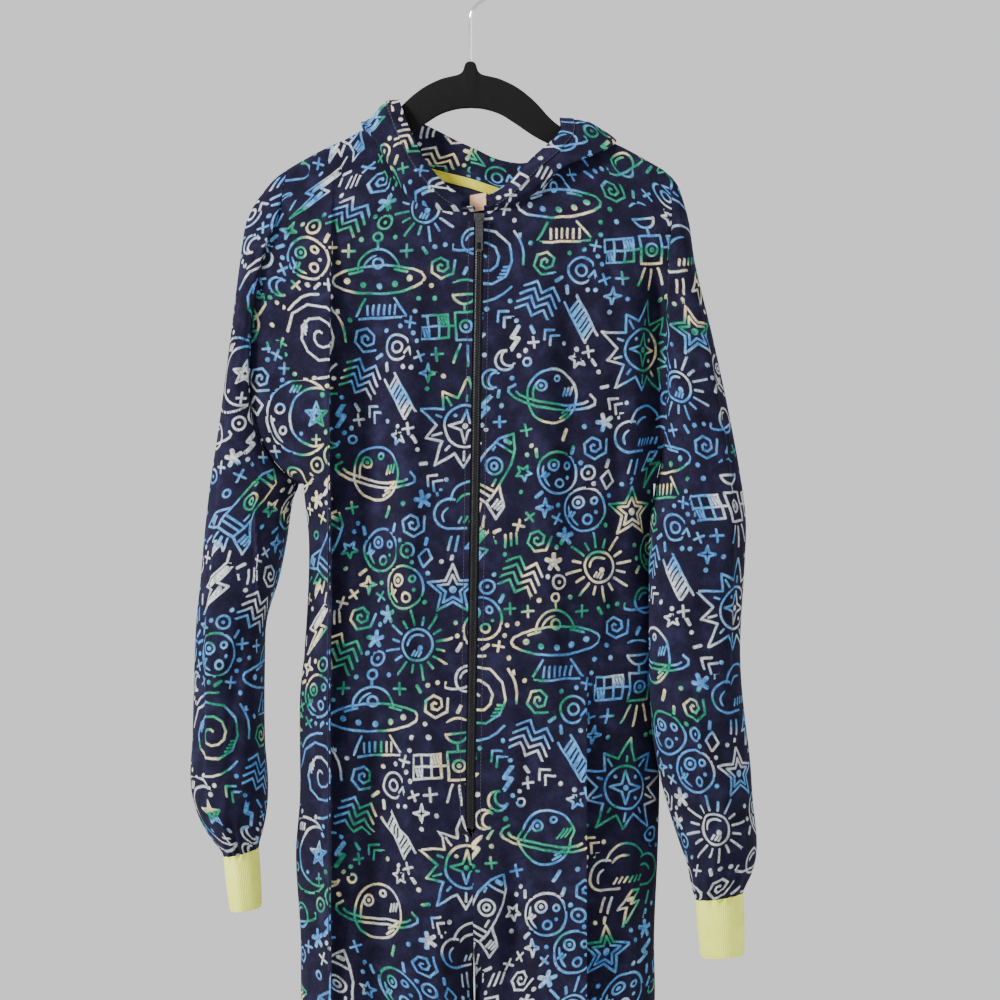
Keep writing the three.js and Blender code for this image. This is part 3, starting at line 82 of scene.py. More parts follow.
BODY = table(
    "z left right centre front back",
    (-140, -150, 150, 8.0, 6.6, 6.6),
    (-190, -150, 150, 7.9, 8.6, 8.2),
    (-232, -145, 157, 7.5, 13, 11.5),
    (-300, -144, 157, 6.5, 21, 18),
    (-380, -144, 157, 5.3, 29, 24),
    (-452, -144, 158, 4.3, 34, 29),
    (-500, -139.4, 159, 3.6, 35, 31),
    (-551, -140.3, 161, 2.8, 36, 32),
    (-602, -143.7, 163, 2.1, 37, 33),
    (-636, -147.1, 163.5, 1.6, 38, 33),
    (-721, -147.1, 163, 0.4, 39, 34),
    (-772, -150.5, 161.5, 1.8, 40, 35),
    (-840, -146.6, 158.6, 2.8, 41, 37),
    (-891, -146.2, 159.3, 3.4, 41, 38),
    (-950, -145, 157, 4.0, 42, 39),
    (-1050, -141, 152, 4.0, 42, 39),
    (-1200, -135, 145, 4.0, 40, 38),
    (-1350, -128, 138, 4.0, 37, 36),
    (-1436, -123, 133, 4.0, 35, 34),
    (-1458, -118, 128, 4.0, 33, 32),
    (-1472, -110, 119, 4.0, 28, 28),
    (-1478, -106, 115, 4.0, 24, 24),
)
INSEAM = table(
    "z stand",
    (-905, 0.15),
    (-950, 2.5),
    (-1100, 8),
    (-1350, 25),
    (-1436, 31),
    (-1458, 37),
    (-1472, 45),
    (-1478, 49),
)
ARMHOLE = table(
    "z left right",
    (-180.5, -157, 165),
    (-199, -160.7, 171.5),
    (-224, -164.5, 173),
    (-256, -176.8, 170),
    (-305, -186, 168.3),
    (-360, -188.5, 168.2),
    (-398, -186, 167.5),
    (-424, -175.5, 165.5),
    (-440, -163, 163),
    (-452, -147, 159.5),
)
ARMHOLE_TOP_Z = -180.5
SLEEVE = {
    "left": table(
        "z outer inner half lean",
        (-180.5, -157, -146, 7, 0),
        (-187, -166.5, -146, 8, 0),
        (-194, -173.4, -146, 9, 0),
        (-211, -186.2, -146, 12, 0),
        (-228, -193.8, -146, 15, 0),
        (-262, -198.9, -146, 21, 0),
        (-330, -207.4, -146, 28, 0),
        (-398, -216.2, -146, 33, 0),
        (-452, -224.5, -148, 35, 0),
        (-466, -226.1, -153, 35, 0),
        (-500, -229.5, -158.1, 35, -2),
        (-534, -232.1, -164.9, 35, -4),
        (-568, -235.5, -175, 35, -5),
        (-602, -237.2, -176.8, 36, -5),
        (-670, -238.9, -176.8, 37, -6),
        (-704, -240.6, -174.3, 38, -6),
        (-724, -237, -174.3, 37, -6),
        (-742, -228.5, -176, 34, -6),
        (-756, -219, -179, 31, -6),
        (-764, -213.5, -181.5, 28, -6),
        (-768, -212.3, -182, 26, -6),
    ),
    "right": table(
        "z outer inner half lean",
        (-180.5, 165, 158, 7, 0),
        (-187, 173, 158, 8, 0),
        (-194, 178.5, 158, 9, 0),
        (-211, 184.6, 158, 12, 0),
        (-228, 188.9, 158, 15, 0),
        (-262, 193.8, 158, 21, 0),
        (-330, 210, 158, 28, 0),
        (-398, 224, 158, 33, -4),
        (-452, 233, 159.5, 35, -12),
        (-484, 236, 154.5, 35, -18),
        (-520, 234.4, 153, 35, -24),
        (-585, 230.4, 152.5, 35, -27),
        (-619, 231.2, 153, 36, -27),
        (-653, 234.6, 154.5, 37, -26),
        (-687, 238.9, 159, 38, -24),
        (-721, 241.4, 167, 39, -22),
        (-755, 244.8, 178.5, 38, -20),
        (-774, 244.4, 185.6, 34, -20),
        (-789, 240.6, 188.5, 29, -20),
        (-799, 235.5, 191, 24, -20),
        (-804, 233.6, 192.6, 21.5, -20),
    ),
}
SLEEVE_END_Z = {"left": -768, "right": -804}
WRIST = {
    "left": {"length": 48.5, "shift": 4.2, "slant": 0.24, "taper": 0.9},
    "right": {"length": 51, "shift": 2.6, "slant": 0.16, "taper": 0.92},
}
RIDGE = table(
    "x left right",
    (0, -96, -96),
    (39, -105, -105),
    (59, -122, -122),
    (74, -137.5, -137),
    (93, -146.5, -145.5),
    (105, -153.6, -151),
    (119, -160, -156.5),
    (132, -166.3, -162),
    (157, -180.5, -175.8),
    (165, -187, -180.5),
)
NECKLINE = {
    "left": table(
        "x front back",
        (0, -219, -187),
        (20, -218, -182.5),
        (40, -213, -176),
        (55, -202, -170),
        (66, -186, -164),
        (76, -168, -158),
        (86, -153, -151.5),
        (93, -146.5, -146.5),
    ),
    "right": table(
        "x front back",
        (0, -219, -187),
        (22, -217, -196.5),
        (45, -208, -197),
        (62, -196, -187),
        (76, -182, -173),
        (86, -168, -163),
        (94, -154, -153),
        (100, -148.2, -148.2),
    ),
}

# Long folds of the body. lap is the side that stands proud of a pleat's edge, 0 for a soft fold.
FOLD_NAMES = "face x drift width rise top foot lap"
FOLDS = [
    dict(zip(FOLD_NAMES.split(), row))
    for row in (
        ("front", -119, 2, 24, 15, -172, -1010, -1),
        ("front", 99.5, 0, 40, 16, -600, -1040, -1),
        ("front", 159, -2, 10, -16, -240, -560, 0),
        ("front", -88, 6, 18, -10, -250, -660, 0),
        ("front", -78, 2, 17, -17, -600, -1120, 0),
        ("front", 38, -4, 10, -11, -740, -1080, 0),
        ("front", -50, -6, 14, 9, -250, -660, 0),
        ("front", 62, 4, 16, 9, -240, -700, 0),
        ("front", -22, -6, 9, 6, -760, -1100, 0),
        ("front", -100, 6, 12, 6, -960, -1440, 0),
        ("front", 110, -8, 13, 6, -1000, -1440, 0),
        ("front", 68, 4, 11, -5, -1060, -1460, 0),
        ("front", -52, -4, 11, -5, -1080, -1460, 0),
        ("front", -92, 5, 7, -3.6, -300, -560, 0),
        ("front", -30, -6, 8, 2.8, -470, -800, 0),
        ("front", 30, 8, 8, 2.8, -430, -720, 0),
        ("front", 128, -6, 8, -3.6, -330, -640, 0),
        ("front", 84, 6, 7, -2.8, -300, -520, 0),
        ("front", -134, 3, 6, -3.2, -620, -960, 0),
        ("front", 140, -4, 8, 3.6, -640, -980, 0),
        ("front", -60, 10, 6, -2.6, -230, -400, 0),
        ("front", 58, -12, 7, -2.4, -560, -800, 0),
        ("front", 108, 10, 6, 2.4, -200, -360, 0),
        ("back", -98, 8, 17, 7, -330, -900, 0),
        ("back", -60, -4, 13, -6, -420, -980, 0),
        ("back", 34, 2, 16, 5, -480, -860, 0),
        ("back", 108, -6, 16, 7, -340, -880, 0),
        ("back", 74, 4, 12, -6, -520, -1040, 0),
        ("back", -84, 4, 12, 6, -980, -1440, 0),
        ("back", 96, -6, 12, 6, -1020, -1440, 0),
        ("back", -26, 8, 8, 2.2, -560, -900, 0),
        ("back", 134, -3, 7, -2.4, -420, -760, 0),
        ("back", -126, 4, 7, -2.2, -460, -820, 0),
    )
]
LAP_EDGE = 1.6
LAP_OVERHANG = 3.6
LAP_CROWDING = 7

# Folds round the sleeves; shares run from the inner side (0) to the outer side (1).
SLEEVE_FOLD_NAMES = "side face top_share foot_share width rise top foot lap"
SLEEVE_FOLDS = [
    dict(zip(SLEEVE_FOLD_NAMES.split(), row))
    for row in (
        ("left", "front", 0.06, 0.06, 0.4, 6, -205, -450, 1),
        ("right", "front", 0.04, 0.06, 0.5, 10, -205, -560, 1),
        ("left", "front", 0.5, 0.12, 0.25, 9, -440, -566, -1),
        ("left", "front", 0.87, 0.7, 0.35, 6, -430, -760, -1),
        ("left", "front", 0.3, 0.42, 0.12, -5, -540, -720, 0),
        ("left", "back", 0.7, 0.45, 0.16, 5, -380, -620, 0),
        ("left", "back", 0.35, 0.4, 0.2, 6, -540, -740, 1),
        ("right", "front", 0.82, 0.86, 0.35, 6, -270, -640, -1),
        ("right", "front", 0.34, 0.5, 0.16, 6, -330, -560, 0),
        ("right", "front", 0.5, 0.62, 0.14, -4, -430, -620, 0),
        ("right", "front", 0.5, 0.36, 0.2, 6, -600, -775, 1),
        ("right", "back", 0.66, 0.5, 0.16, 5, -380, -640, 0),
        ("right", "back", 0.4, 0.35, 0.2, 6, -560, -750, -1),
        ("left", "front", 0.3, 0.7, 0.07, 2.6, -560, -640, 0),
        ("left", "front", 0.2, 0.55, 0.06, 2.4, -610, -700, 0),
        ("left", "front", 0.4, 0.75, 0.06, 2.4, -690, -775, 0),
        ("right", "front", 0.3, 0.62, 0.07, 2.6, -620, -700, 0),
        ("right", "front", 0.75, 0.3, 0.06, 2.6, -700, -785, 0),
        ("right", "front", 0.12, 0.3, 0.06, 3.0, -460, -560, 0),
        ("left", "back", 0.2, 0.7, 0.07, 2.4, -600, -690, 0),
        ("right", "back", 0.75, 0.25, 0.07, 2.4, -620, -720, 0),
    )
]

HOOD_NAMES = "place crestX crestY crestZ bagX bagY bagZ edgeX edgeY edgeZ"
HOOD = {
    "left": table(
        HOOD_NAMES,
        (0, -7, -15, -214.5, -7.5, -15.5, -210.5, -5, -14, -206.5),
        (0.1, -31, -17, -209, -28, -18, -201, -22, -14.5, -194.5),
        (0.2, -55, -17, -194, -49, -18, -180, -40, -14, -172.5),
        (0.3, -70, -14, -168, -63, -15, -153, -53, -12, -145.5),
        (0.4, -83, -9.5, -146, -72, -11, -133.5, -59, -9.5, -128.5),
        (0.5, -88, 0, -138, -76, 0, -126.5, -62, 0, -121.5),
        (0.6, -88, 14, -138, -82, 31, -166, -66, 24, -134),
        (0.7, -76, 18, -142, -80, 36, -276, -60, 37, -152),
        (0.8, -54, 20, -148, -68, 41, -372, -50, 47, -176),
        (1, 0, 22, -178, 0, 44, -432, 0, 55, -208),
    ),
    "right": table(
        HOOD_NAMES,
        (0, 14.5, -15, -214.5, 15, -15.5, -210.5, 13, -14, -206.5),
        (0.1, 37, -17, -209, 36, -18, -201, 33, -14.5, -193.5),
        (0.2, 63, -17, -193, 60, -18, -182, 53.6, -14, -172),
        (0.3, 85, -16, -178, 80, -17, -166, 69, -13, -158.5),
        (0.4, 111, -14, -168, 96, -14, -154, 78, -10, -147),
        (0.5, 125, 0, -158, 100, 0, -141, 77, 0, -136.5),
        (0.6, 108, 17, -147, 98, 33, -172, 78, 26, -143),
        (0.7, 82, 20, -166, 88, 38, -282, 66, 38, -168),
        (0.8, 54, 20, -188, 72, 41, -374, 52, 47, -192),
        (0.9, 27, 21, -187, 40, 43, -412, 27, 52, -202),
        (1, 0.6, 22, -178, 0.6, 44, -432, 0.6, 55, -208),
    ),
}


def read(tab, column, where):
    """One column of a table on a smooth curve through its rows."""
    keys, values = next(iter(tab.values())), tab[column]
    where = np.clip(where, keys[0], keys[-1])
    last = len(keys) - 1
    i = np.clip(np.searchsorted(keys, where, side="right") - 1, 0, last - 1)
    low = np.maximum(np.arange(last + 1) - 1, 0)
    high = np.minimum(np.arange(last + 1) + 1, last)
    slopes = (values[high] - values[low]) / (keys[high] - keys[low])
    span = keys[i + 1] - keys[i]
    s = (where - keys[i]) / span
    rise = s * s * (3 - 2 * s)
    bend = span * (slopes[i] * s * (1 - s) ** 2 + slopes[i + 1] * s * s * (s - 1))
    return values[i] * (1 - rise) + values[i + 1] * rise + bend


def ease(start, end, value):
    share = np.clip((np.asarray(value, float) - start) / (end - start), 0, 1)
    return share * share * (3 - 2 * share)


def unit(vectors):
    return vectors / np.maximum(np.linalg.norm(vectors, axis=-1, keepdims=True), 1e-9)


def ripple(x, y, seed, size):
    """Slow uneven waves, from -1 to 1, the same in each run."""
    total = np.zeros(np.broadcast(x, y).shape)
    for k in range(5):
        angle = seed * 1.7 + k * 2.4
        length = size * (0.6 + 0.28 * k)
        wave = (x * math.cos(angle) + y * math.sin(angle)) / length * 2 * math.pi
        total = total + np.sin(wave + seed * 3.1 + k * 1.3 + 1.3 * np.sin(y / (size * 1.9) + k))
    return total / 5


def fold_strength(fold, z):
    share = (fold["top"] - z) / (fold["top"] - fold["foot"])
    inside = (share > 0) & (share < 1)
    strength = ease(0, 0.22, share) * (1 - ease(0.75, 1, share))
    return np.where(inside, strength, 0), fold["x"] + fold["drift"] * np.clip(share, 0, 1)


def fold_shape(face, x, z):
    """How far the long folds move a point out from its face, and sideways under a pleat's edge."""
    rise = np.zeros(x.shape)
    shift = np.zeros(x.shape)
    for fold in FOLDS:
        if fold["face"] != face:
            continue
        strength, centre = fold_strength(fold, z)
        away = x - centre
        if fold["lap"] == 0:
            rise += fold["rise"] * strength * np.exp(-((away / fold["width"]) ** 2))
            continue
        side = away * fold["lap"]
        lap = np.where(side < 0, 1 - ease(0, LAP_EDGE * 2, -side), 1)
        fall = np.exp(-np.maximum(0, side - LAP_EDGE) / fold["width"])
        rise += fold["rise"] * strength * lap * fall
        under = np.exp(-(((side + LAP_EDGE * 1.4) / 1.7) ** 2))
        shift += fold["lap"] * LAP_OVERHANG * strength * under
    return rise, shift


def outer_x(side, z):
    return np.where(z > UNDERARM_Z, read(ARMHOLE, side, z), read(BODY, side, z))


def inner_x(side, face, z):
    centre = read(BODY, "centre", z)
    leg = np.maximum(HALF_GAP, read(INSEAM, "stand", z))
    if face == "back":
        return centre * ease(-160, -900, z) + SIGN[side] * np.where(z > CROTCH_Z, HALF_GAP, leg)
    closed = np.clip((ZIP_END_Z - z) / (ZIP_END_Z - ZIP_CLOSED_Z), 0, 1)
    opened = HALF_GAP + (ZIP_HALF_WIDTH + SEAM_GAP - HALF_GAP) * (1 - closed)
    return centre + SIGN[side] * np.where(z > CROTCH_Z, opened, leg)


def turn_of(z):
    share = 0.3 + 0.4 * ease(-215, -340, z) + 0.3 * ease(-400, UNDERARM_Z, z)
    return share * math.pi / 2


def plain_section(side, face, t, z):
    """A point of the body's face before its folds: x, how full its depth is, and the roll."""
    inner = inner_x(side, face, z)
    outer = outer_x(side, np.minimum(z, ARMHOLE_TOP_Z))
    turn = turn_of(z)
    wave = np.sin(turn * t)
    body_x = inner + (outer - inner) * wave / np.sin(turn)
    body_shape = np.sqrt(np.maximum(0, 1 - wave**BODY_SQUARENESS))
    leg_wave = np.sin((2 * t - 1) * math.pi / 2)
    leg_x = (inner + outer) / 2 + (outer - inner) / 2 * leg_wave
    leg_shape = np.sqrt(np.maximum(0, 1 - np.abs(leg_wave) ** BODY_SQUARENESS))
    leg = ease(CROTCH_START_Z, CROTCH_Z, z)
    x = body_x + (leg_x - body_x) * leg
    shape = body_shape + (leg_shape - body_shape) * leg
    below = np.maximum(0, read(RIDGE, side, np.abs(x)) - z)
    roll = np.sqrt(1 - (1 - np.clip(below / SHOULDER_ROLL, 0, 1)) ** 2)
    return x, shape, roll


def body_point(side, face, t, z, fine=True):
    t, z = np.broadcast_arrays(np.asarray(t, float), np.asarray(z, float))
    x, shape, roll = plain_section(side, face, t, z)
    depth = read(BODY, face, z)
    full = np.minimum(1, shape * 1.6) * roll
    rise, shift = fold_shape(face, x, z)
    if fine:
        edge = np.minimum(1, np.minimum(t, 1 - t) * 8)
        calm = edge * ease(0, 30, read(RIDGE, side, np.abs(x)) - z)
        rise = rise + 1.3 * ripple(x, z, 3 if side == "left" else 8, 85) * calm
        rise = rise + 0.5 * ripple(x, z, 5 if face == "front" else 11, 30) * calm
        near_leg_end = ease(-1430, -1474, z)
        rise = rise + near_leg_end * 1.3 * np.sin(x * 0.75) * edge
        shift = shift * edge
    y = OUT[face] * (depth * shape * roll + rise * full)
    return np.stack([x + shift * full * (1 if fine else 0), y, z], axis=-1)


def column_shares(side, face, levels, count):
    """Shares of a panel's columns at each level: even along the cloth, closer at a pleat's edge."""
    samples = np.linspace(0, 1, 301)
    t, z = np.meshgrid(samples, levels)
    x, shape, roll = plain_section(side, face, t, z)
    y = read(BODY, face, z) * shape * roll
    step = np.hypot(np.diff(x, axis=1), np.diff(y, axis=1))
    weight = np.ones(step.shape)
    middle_x = (x[:, 1:] + x[:, :-1]) / 2
    for fold in FOLDS:
        if fold["face"] != face or fold["lap"] == 0:
            continue
        share = (fold["top"] - z[:, 1:]) / (fold["top"] - fold["foot"])
        near = ease(-0.1, 0.1, share) * (1 - ease(0.95, 1.25, share))
        centre = fold["x"] + fold["drift"] * np.clip(share, 0, 1)
        away = (middle_x - centre) * fold["lap"] + 2.5
        weight += LAP_CROWDING * near * np.exp(-((away / 4.5) ** 2))
    edges = np.minimum(t[:, 1:], 1 - t[:, :-1])
    weight += 1.2 * np.exp(-((edges / 0.03) ** 2))
    total = np.concatenate([np.zeros((len(levels), 1)), np.cumsum(step * weight, axis=1)], axis=1)
    wanted = np.linspace(0, 1, count)
    rows = [np.interp(wanted * total[r, -1], total[r], samples) for r in range(len(levels))]
    return np.array(rows)


def neckline_z(side, face, x):
    away = np.abs(x)
    on_ridge = read(RIDGE, side, away)
    return np.where(away >= NECK_POINT_X[side], on_ridge, read(NECKLINE[side], face, away))


PANEL_COLUMNS = 62
ROW_STEP = 3.4


def panel_points(side, face):
    """Rows of points from the neck and shoulder down to the ankle."""
    top_shares = column_shares(side, face, np.array([ARMHOLE_TOP_Z]), PANEL_COLUMNS)[0]
    top_x = plain_section(side, face, top_shares, np.full(PANEL_COLUMNS, ARMHOLE_TOP_Z))[0]
    top = neckline_z(side, face, top_x)
    roll_depths = np.array([0, 0.5, 1.2, 2.2, 3.4, 5, 7, 10, 13, 16])
    chest = column_shares(side, face, np.array([CHEST_ROW_Z]), PANEL_COLUMNS)[0]
    rows_z = [top - depth for depth in roll_depths]
    rows_t = [top_shares for _ in roll_depths]
    steps = 22
    for k in range(1, steps):
        way = k / steps
        rows_z.append(top - 16 + (CHEST_ROW_Z - top + 16) * way)
        rows_t.append(top_shares + (chest - top_shares) * ease(0.3, 1, way))
    count = int(round((CHEST_ROW_Z - LEG_END_Z) / ROW_STEP))
    levels = np.linspace(CHEST_ROW_Z, LEG_END_Z, count)
    rows_z.extend(np.full(PANEL_COLUMNS, z) for z in levels)
    rows_t.extend(column_shares(side, face, levels, PANEL_COLUMNS))
    return np.array(rows_t), np.array(rows_z)


def grid_normals(points, ring, outward):
    """Directions that stand on a grid of points; outward tells by their mean if they face out."""
    rows, columns = points.shape[:2]
    up = points[np.maximum(np.arange(rows) - 1, 0)]
    down = points[np.minimum(np.arange(rows) + 1, rows - 1)]
    if ring:
        along = np.roll(points, -1, axis=1) - np.roll(points, 1, axis=1)
    else:
        after = points[:, np.minimum(np.arange(columns) + 1, columns - 1)]
        before = points[:, np.maximum(np.arange(columns) - 1, 0)]
        along = after - before
    normals = unit(np.cross(along, down - up))
    return normals if outward(normals.mean(axis=(0, 1))) else -normals


def panel_grids(side, face):
    """The outer and inner points of a panel, parted from its neighbours by the seam gap."""
    t, z = panel_points(side, face)
    outer = body_point(side, face, t, z)
    normals = grid_normals(outer, False, lambda n: n[1] * OUT[face] > 0)
    sign = SIGN[side]
    low = z[:, -1] < UNDERARM_Z
    normals[low, -1] = unit(np.stack([np.full(low.sum(), sign), np.zeros(low.sum()), normals[low, -1, 2]], -1))
    leg = z[:, 0] <= CROTCH_Z
    above = ~leg & ((z[:, 0] > CROTCH_START_Z) | (normals[:, 0, 0] * sign > 0))
    normals[above, 0, 0] = 0
    normals[leg, 0] = np.stack([np.full(leg.sum(), -sign), np.zeros(leg.sum()), normals[leg, 0, 2] * 0.3], -1)
    normals[:, 0] = unit(normals[:, 0])
    ridge = np.abs(outer[0, :, 0]) >= NECK_POINT_X[side]
    normals[0, ridge] = unit(np.array([sign * 0.4, 0, 0.9]))
    valley = seam_valley(side, t, z)
    outer = outer - normals * valley[..., None]
    inner = outer - normals * (WALL - 0.4 * valley)[..., None]
    away = OUT[face] * HALF_GAP
    for grid in (outer, inner):
        grid[low, -1, 1] = away + np.where(np.abs(grid[low, -1, 1]) < 1, 0, grid[low, -1, 1])
        grid[~low, -1, 0] -= sign * HALF_GAP
        grid[leg, 0, 1] += away
        grid[0, ridge, 1] += away
    return outer, inner, t, z


def seam_valley(side, t, z):
    """How far the cloth sinks into its side seam, inseam and centre seam."""
    width = 150.0
    side_seam = 0.7 * np.exp(-(((1 - t) * width / 2.2) ** 2)) * (z < -250)
    middle = 0.7 * np.exp(-((t * width / 2.2) ** 2)) * (z < ZIP_CLOSED_Z)
    return side_seam + middle


def sleeve_fold_rise(side, face, share, z):
    total = np.zeros(share.shape)
    for fold in SLEEVE_FOLDS:
        if fold["side"] != side:
            continue
        run = (fold["top"] - z) / (fold["top"] - fold["foot"])
        inside = (run > 0) & (run < 1) & (face == fold["face"])
        centre = fold["top_share"] + (fold["foot_share"] - fold["top_share"]) * run
        strength = np.sin(math.pi * np.clip(run, 0, 1)) ** 0.7
        away = share - centre
        shape = np.exp(-((away / fold["width"]) ** 2))
        if fold["lap"]:
            beyond = away * fold["lap"]
            shape = (1 - ease(0, 0.045, -beyond)) * np.exp(-np.maximum(0, beyond) / fold["width"])
        total += np.where(inside, fold["rise"] * strength * shape, 0)
    return total


def sleeve_point(side, face, share, z, seam_depth):
    tab = SLEEVE[side]
    share = np.clip(share, 0, 1)
    outer = read(tab, "outer", z)
    low = ease(UNDERARM_Z, SLEEVE_JOIN_Z, z)
    inner = np.where(z > UNDERARM_Z, read(ARMHOLE, side, z), read(tab, "inner", z))
    half = read(tab, "half", z)
    lean = read(tab, "lean", z) * (share + (1 - share) * ease(UNDERARM_Z, SLEEVE_LEAN_Z, z))
    to_seam = (1 - share) ** 2
    upper = (seam_depth * to_seam + half * (1 - to_seam)) * np.sqrt(
        np.maximum(0, 1 - share**SLEEVE_SQUARENESS)
    )
    across = np.abs(2 * share - 1)
    lower = half * np.sqrt(np.maximum(0, 1 - across**SLEEVE_SQUARENESS))
    depth = upper + (lower - upper) * low
    out = np.where(face == "front", -1, 1)
    rise = sleeve_fold_rise(side, face, share, z)
    end = SLEEVE_END_Z[side]
    gathers = ease(end + 46, end + 4, z) * 1.5 * np.sin(share * 34 + np.where(face == "front", 0, 2))
    rise = rise + gathers + 1.0 * ripple(share * 110, z, 2 if side == "left" else 7, 60)
    fold = rise * np.minimum(1, depth / (0.5 * half))
    y = lean + out * (depth + fold)
    return np.stack([inner + (outer - inner) * share, y, z], axis=-1)


ARMHOLE_INDEX = table(
    "z index",
    (-180.5, 0),
    (-183, 1),
    (-187.5, 2),
    (-196.5, 3),
    (-214, 4),
    (-231, 5),
    (-248, 6),
    (-300, 7),
    (-345, 8),
    (-385, 9),
    (-415, 10),
    (-436, 11),
    (-452, 12),
)
SLEEVE_COLUMNS = 56
SLEEVE_WAYS = 40
SLEEVE_ROWS = 84


def sleeve_rings(side):
    """Rings from the armhole down to the cuff seam: up the back from the underarm, over, down."""
    sign = SIGN[side]
    way_down = np.linspace(0, 1, SLEEVE_COLUMNS + 1) ** 1.35
    front = ARMHOLE_TOP_Z + (UNDERARM_Z - ARMHOLE_TOP_Z) * way_down
    start = np.concatenate([front, front[1:-1][::-1]])
    face = np.array(["front"] * len(front) + ["back"] * (len(front) - 2))
    index = np.interp(start, ARMHOLE_INDEX["z"], ARMHOLE_INDEX["index"])

    def fall(z):
        return (ARMHOLE_TOP_Z - z) / (ARMHOLE_TOP_Z - UNDERARM_Z)

    def seam_y(z):
        depth = [np.abs(body_point(side, name, np.ones(z.shape), z, False)[..., 1]) for name in ("front", "back")]
        return np.where(face == "front", depth[0], depth[1])

    mix = 0.4 * index / 12 + 0.6 * fall(start)
    final = (1 + np.cos(math.pi * mix)) / 2
    out = np.where(face == "front", -1, 1)
    first_x = outer_x(side, start) + sign * 0.45
    rings = [np.stack([first_x, out * seam_y(start), start], axis=-1)]
    for way in np.linspace(0, 1, SLEEVE_WAYS + 1)[1:] ** 1.5:
        z = start + (SLEEVE_JOIN_Z - start) * way
        upper = np.where(start >= ARMHOLE_TOP_Z - 1e-6, 1, np.maximum(0, 1 - fall(start) / np.maximum(fall(z), 1e-6)))
        at_arm = 1 - fall(start)
        low = ease(UNDERARM_Z, SLEEVE_JOIN_Z, z)
        share = np.where(z > UNDERARM_Z, upper, at_arm + (final - at_arm) * low)
        seam = np.where(z > UNDERARM_Z, seam_y(z), 0)
        rings.append(sleeve_point(side, face, share, z, seam))
    cuff = WRIST[side]
    end = SLEEVE_END_Z[side]
    middle = (read(SLEEVE[side], "outer", end) + read(SLEEVE[side], "inner", end)) / 2
    for part in np.linspace(0, 1, SLEEVE_ROWS + 1)[1:]:
        z = np.full(start.shape, SLEEVE_JOIN_Z + (end - SLEEVE_JOIN_Z) * part)
        points = sleeve_point(side, face, final, z, 0)
        points[:, 2] += cuff["slant"] * ease(0.7, 1, part) * (points[:, 0] - middle)
        rings.append(points)
    return np.array(rings)


def neck_seam(side, places):
    """Points and directions of the neck seam, from the zip over the shoulder to the back."""
    points, normals = [], []
    for place in places:
        face = "front" if place <= 0.5 else "back"
        way = min(place, 1 - place) * 2
        level = np.array([ARMHOLE_TOP_Z])
        inner = float(inner_x(side, face, level)[0])
        outer = float(outer_x(side, level)[0])
        turn = float(turn_of(level)[0])
        reach = (SIGN[side] * NECK_POINT_X[side] - inner) / (outer - inner)
        neck = math.asin(max(0.0, min(1.0, reach)) * math.sin(turn)) / turn

        def at(w, drop):
            share = np.array([neck * (1 - (1 - min(1, max(0, w))) ** NECK_COLUMN_CROWDING)])
            x = plain_section(side, face, share, level)[0]
            z = neckline_z(side, face, x) - drop
            return body_point(side, face, share, z, False)[0]

        along = at(way + 0.08, 0) - at(way - 0.08, 0)
        down = at(way, 2.5) - at(way, 0)
        normal = unit(np.cross(along, down))
        if normal[1] * OUT[face] < 0:
            normal = -normal
        crown = unit(np.array([SIGN[side] * 0.4, 0, 0.9]))
        near = float(ease(0.82, 1.0, way))
        if way < 0.02:
            normal[0] = 0
        normal = unit(normal * (1 - near) + crown * near)
        points.append(at(way, 0))
        normals.append(normal)
    return np.array(points), np.array(normals)


def curve_through(path, step):
    """A smooth curve through points; path has shape (stations, columns, 3)."""
    last = len(path) - 1
    where = min(max(step, 0), 1) * last
    i = min(last - 1, int(where))
    s = where - i
    a, b, c, d = (path[min(last, max(0, i + k))] for k in (-1, 0, 1, 2))
    return 0.5 * (2 * b + (c - a) * s + (2 * a - 5 * b + 4 * c - d) * s**2 + (3 * b - a - 3 * c + d) * s**3)


HOOD_COLUMNS = 72
HOOD_ROWS = 88
HOOD_BAND = 13.0


def hood_grids(side):
    """Outer and inner points of one half of the hood, from the neck seam to the face edge."""
    places = np.linspace(0, 1, HOOD_COLUMNS + 1)
    seam, seam_normals = neck_seam(side, places)
    tab = HOOD[side]
    start = seam + np.array([-SIGN[side] * HALF_GAP, 0, SEAM_GAP])
    lift = seam_normals * HOOD_TURN_UP + np.array([0, 0, HOOD_SEAM_LIFT])
    path = np.array(
        [start, start + lift]
        + [np.stack([read(tab, part + axis, places) for axis in "XYZ"], axis=-1) for part in ("crest", "bag", "edge")]
    )
    steps = np.concatenate([np.linspace(0, 0.5, 24)[:-1], np.linspace(0.5, 1, HOOD_ROWS - 23)])
    points = np.array([curve_through(path, step) for step in steps])
    normals = grid_normals(points, False, lambda n: True)
    if normals[1, 1, 1] > 0:
        normals = -normals
    normals[0] = seam_normals
    normals[:, -1, 0] = 0
    normals = unit(normals)
    spans = np.linalg.norm(np.diff(points, axis=0), axis=2)
    length = np.concatenate([np.zeros((1, points.shape[1])), np.cumsum(spans, axis=0)])
    to_edge = length[-1] - length
    band = 0.55 * (1 - ease(HOOD_BAND - 1.2, HOOD_BAND + 0.6, to_edge))
    groove = 0.7 * np.exp(-(((to_edge - HOOD_BAND) / 1.1) ** 2))
    waves = 0.9 * ripple(length * 0.9, places[None, :] * 210, 4 if side == "left" else 9, 46)
    waves = waves * ease(0, 12, length) * ease(0, 10, to_edge) * ease(0, 0.06, 1 - places)[None, :]
    outer = points + normals * (band - groove + waves)[..., None]
    inner = outer - normals * WALL
    for grid in (outer, inner):
        grid[:, -1, 0] = SIGN[side] * HALF_GAP
    return outer, inner, places, length, to_edge


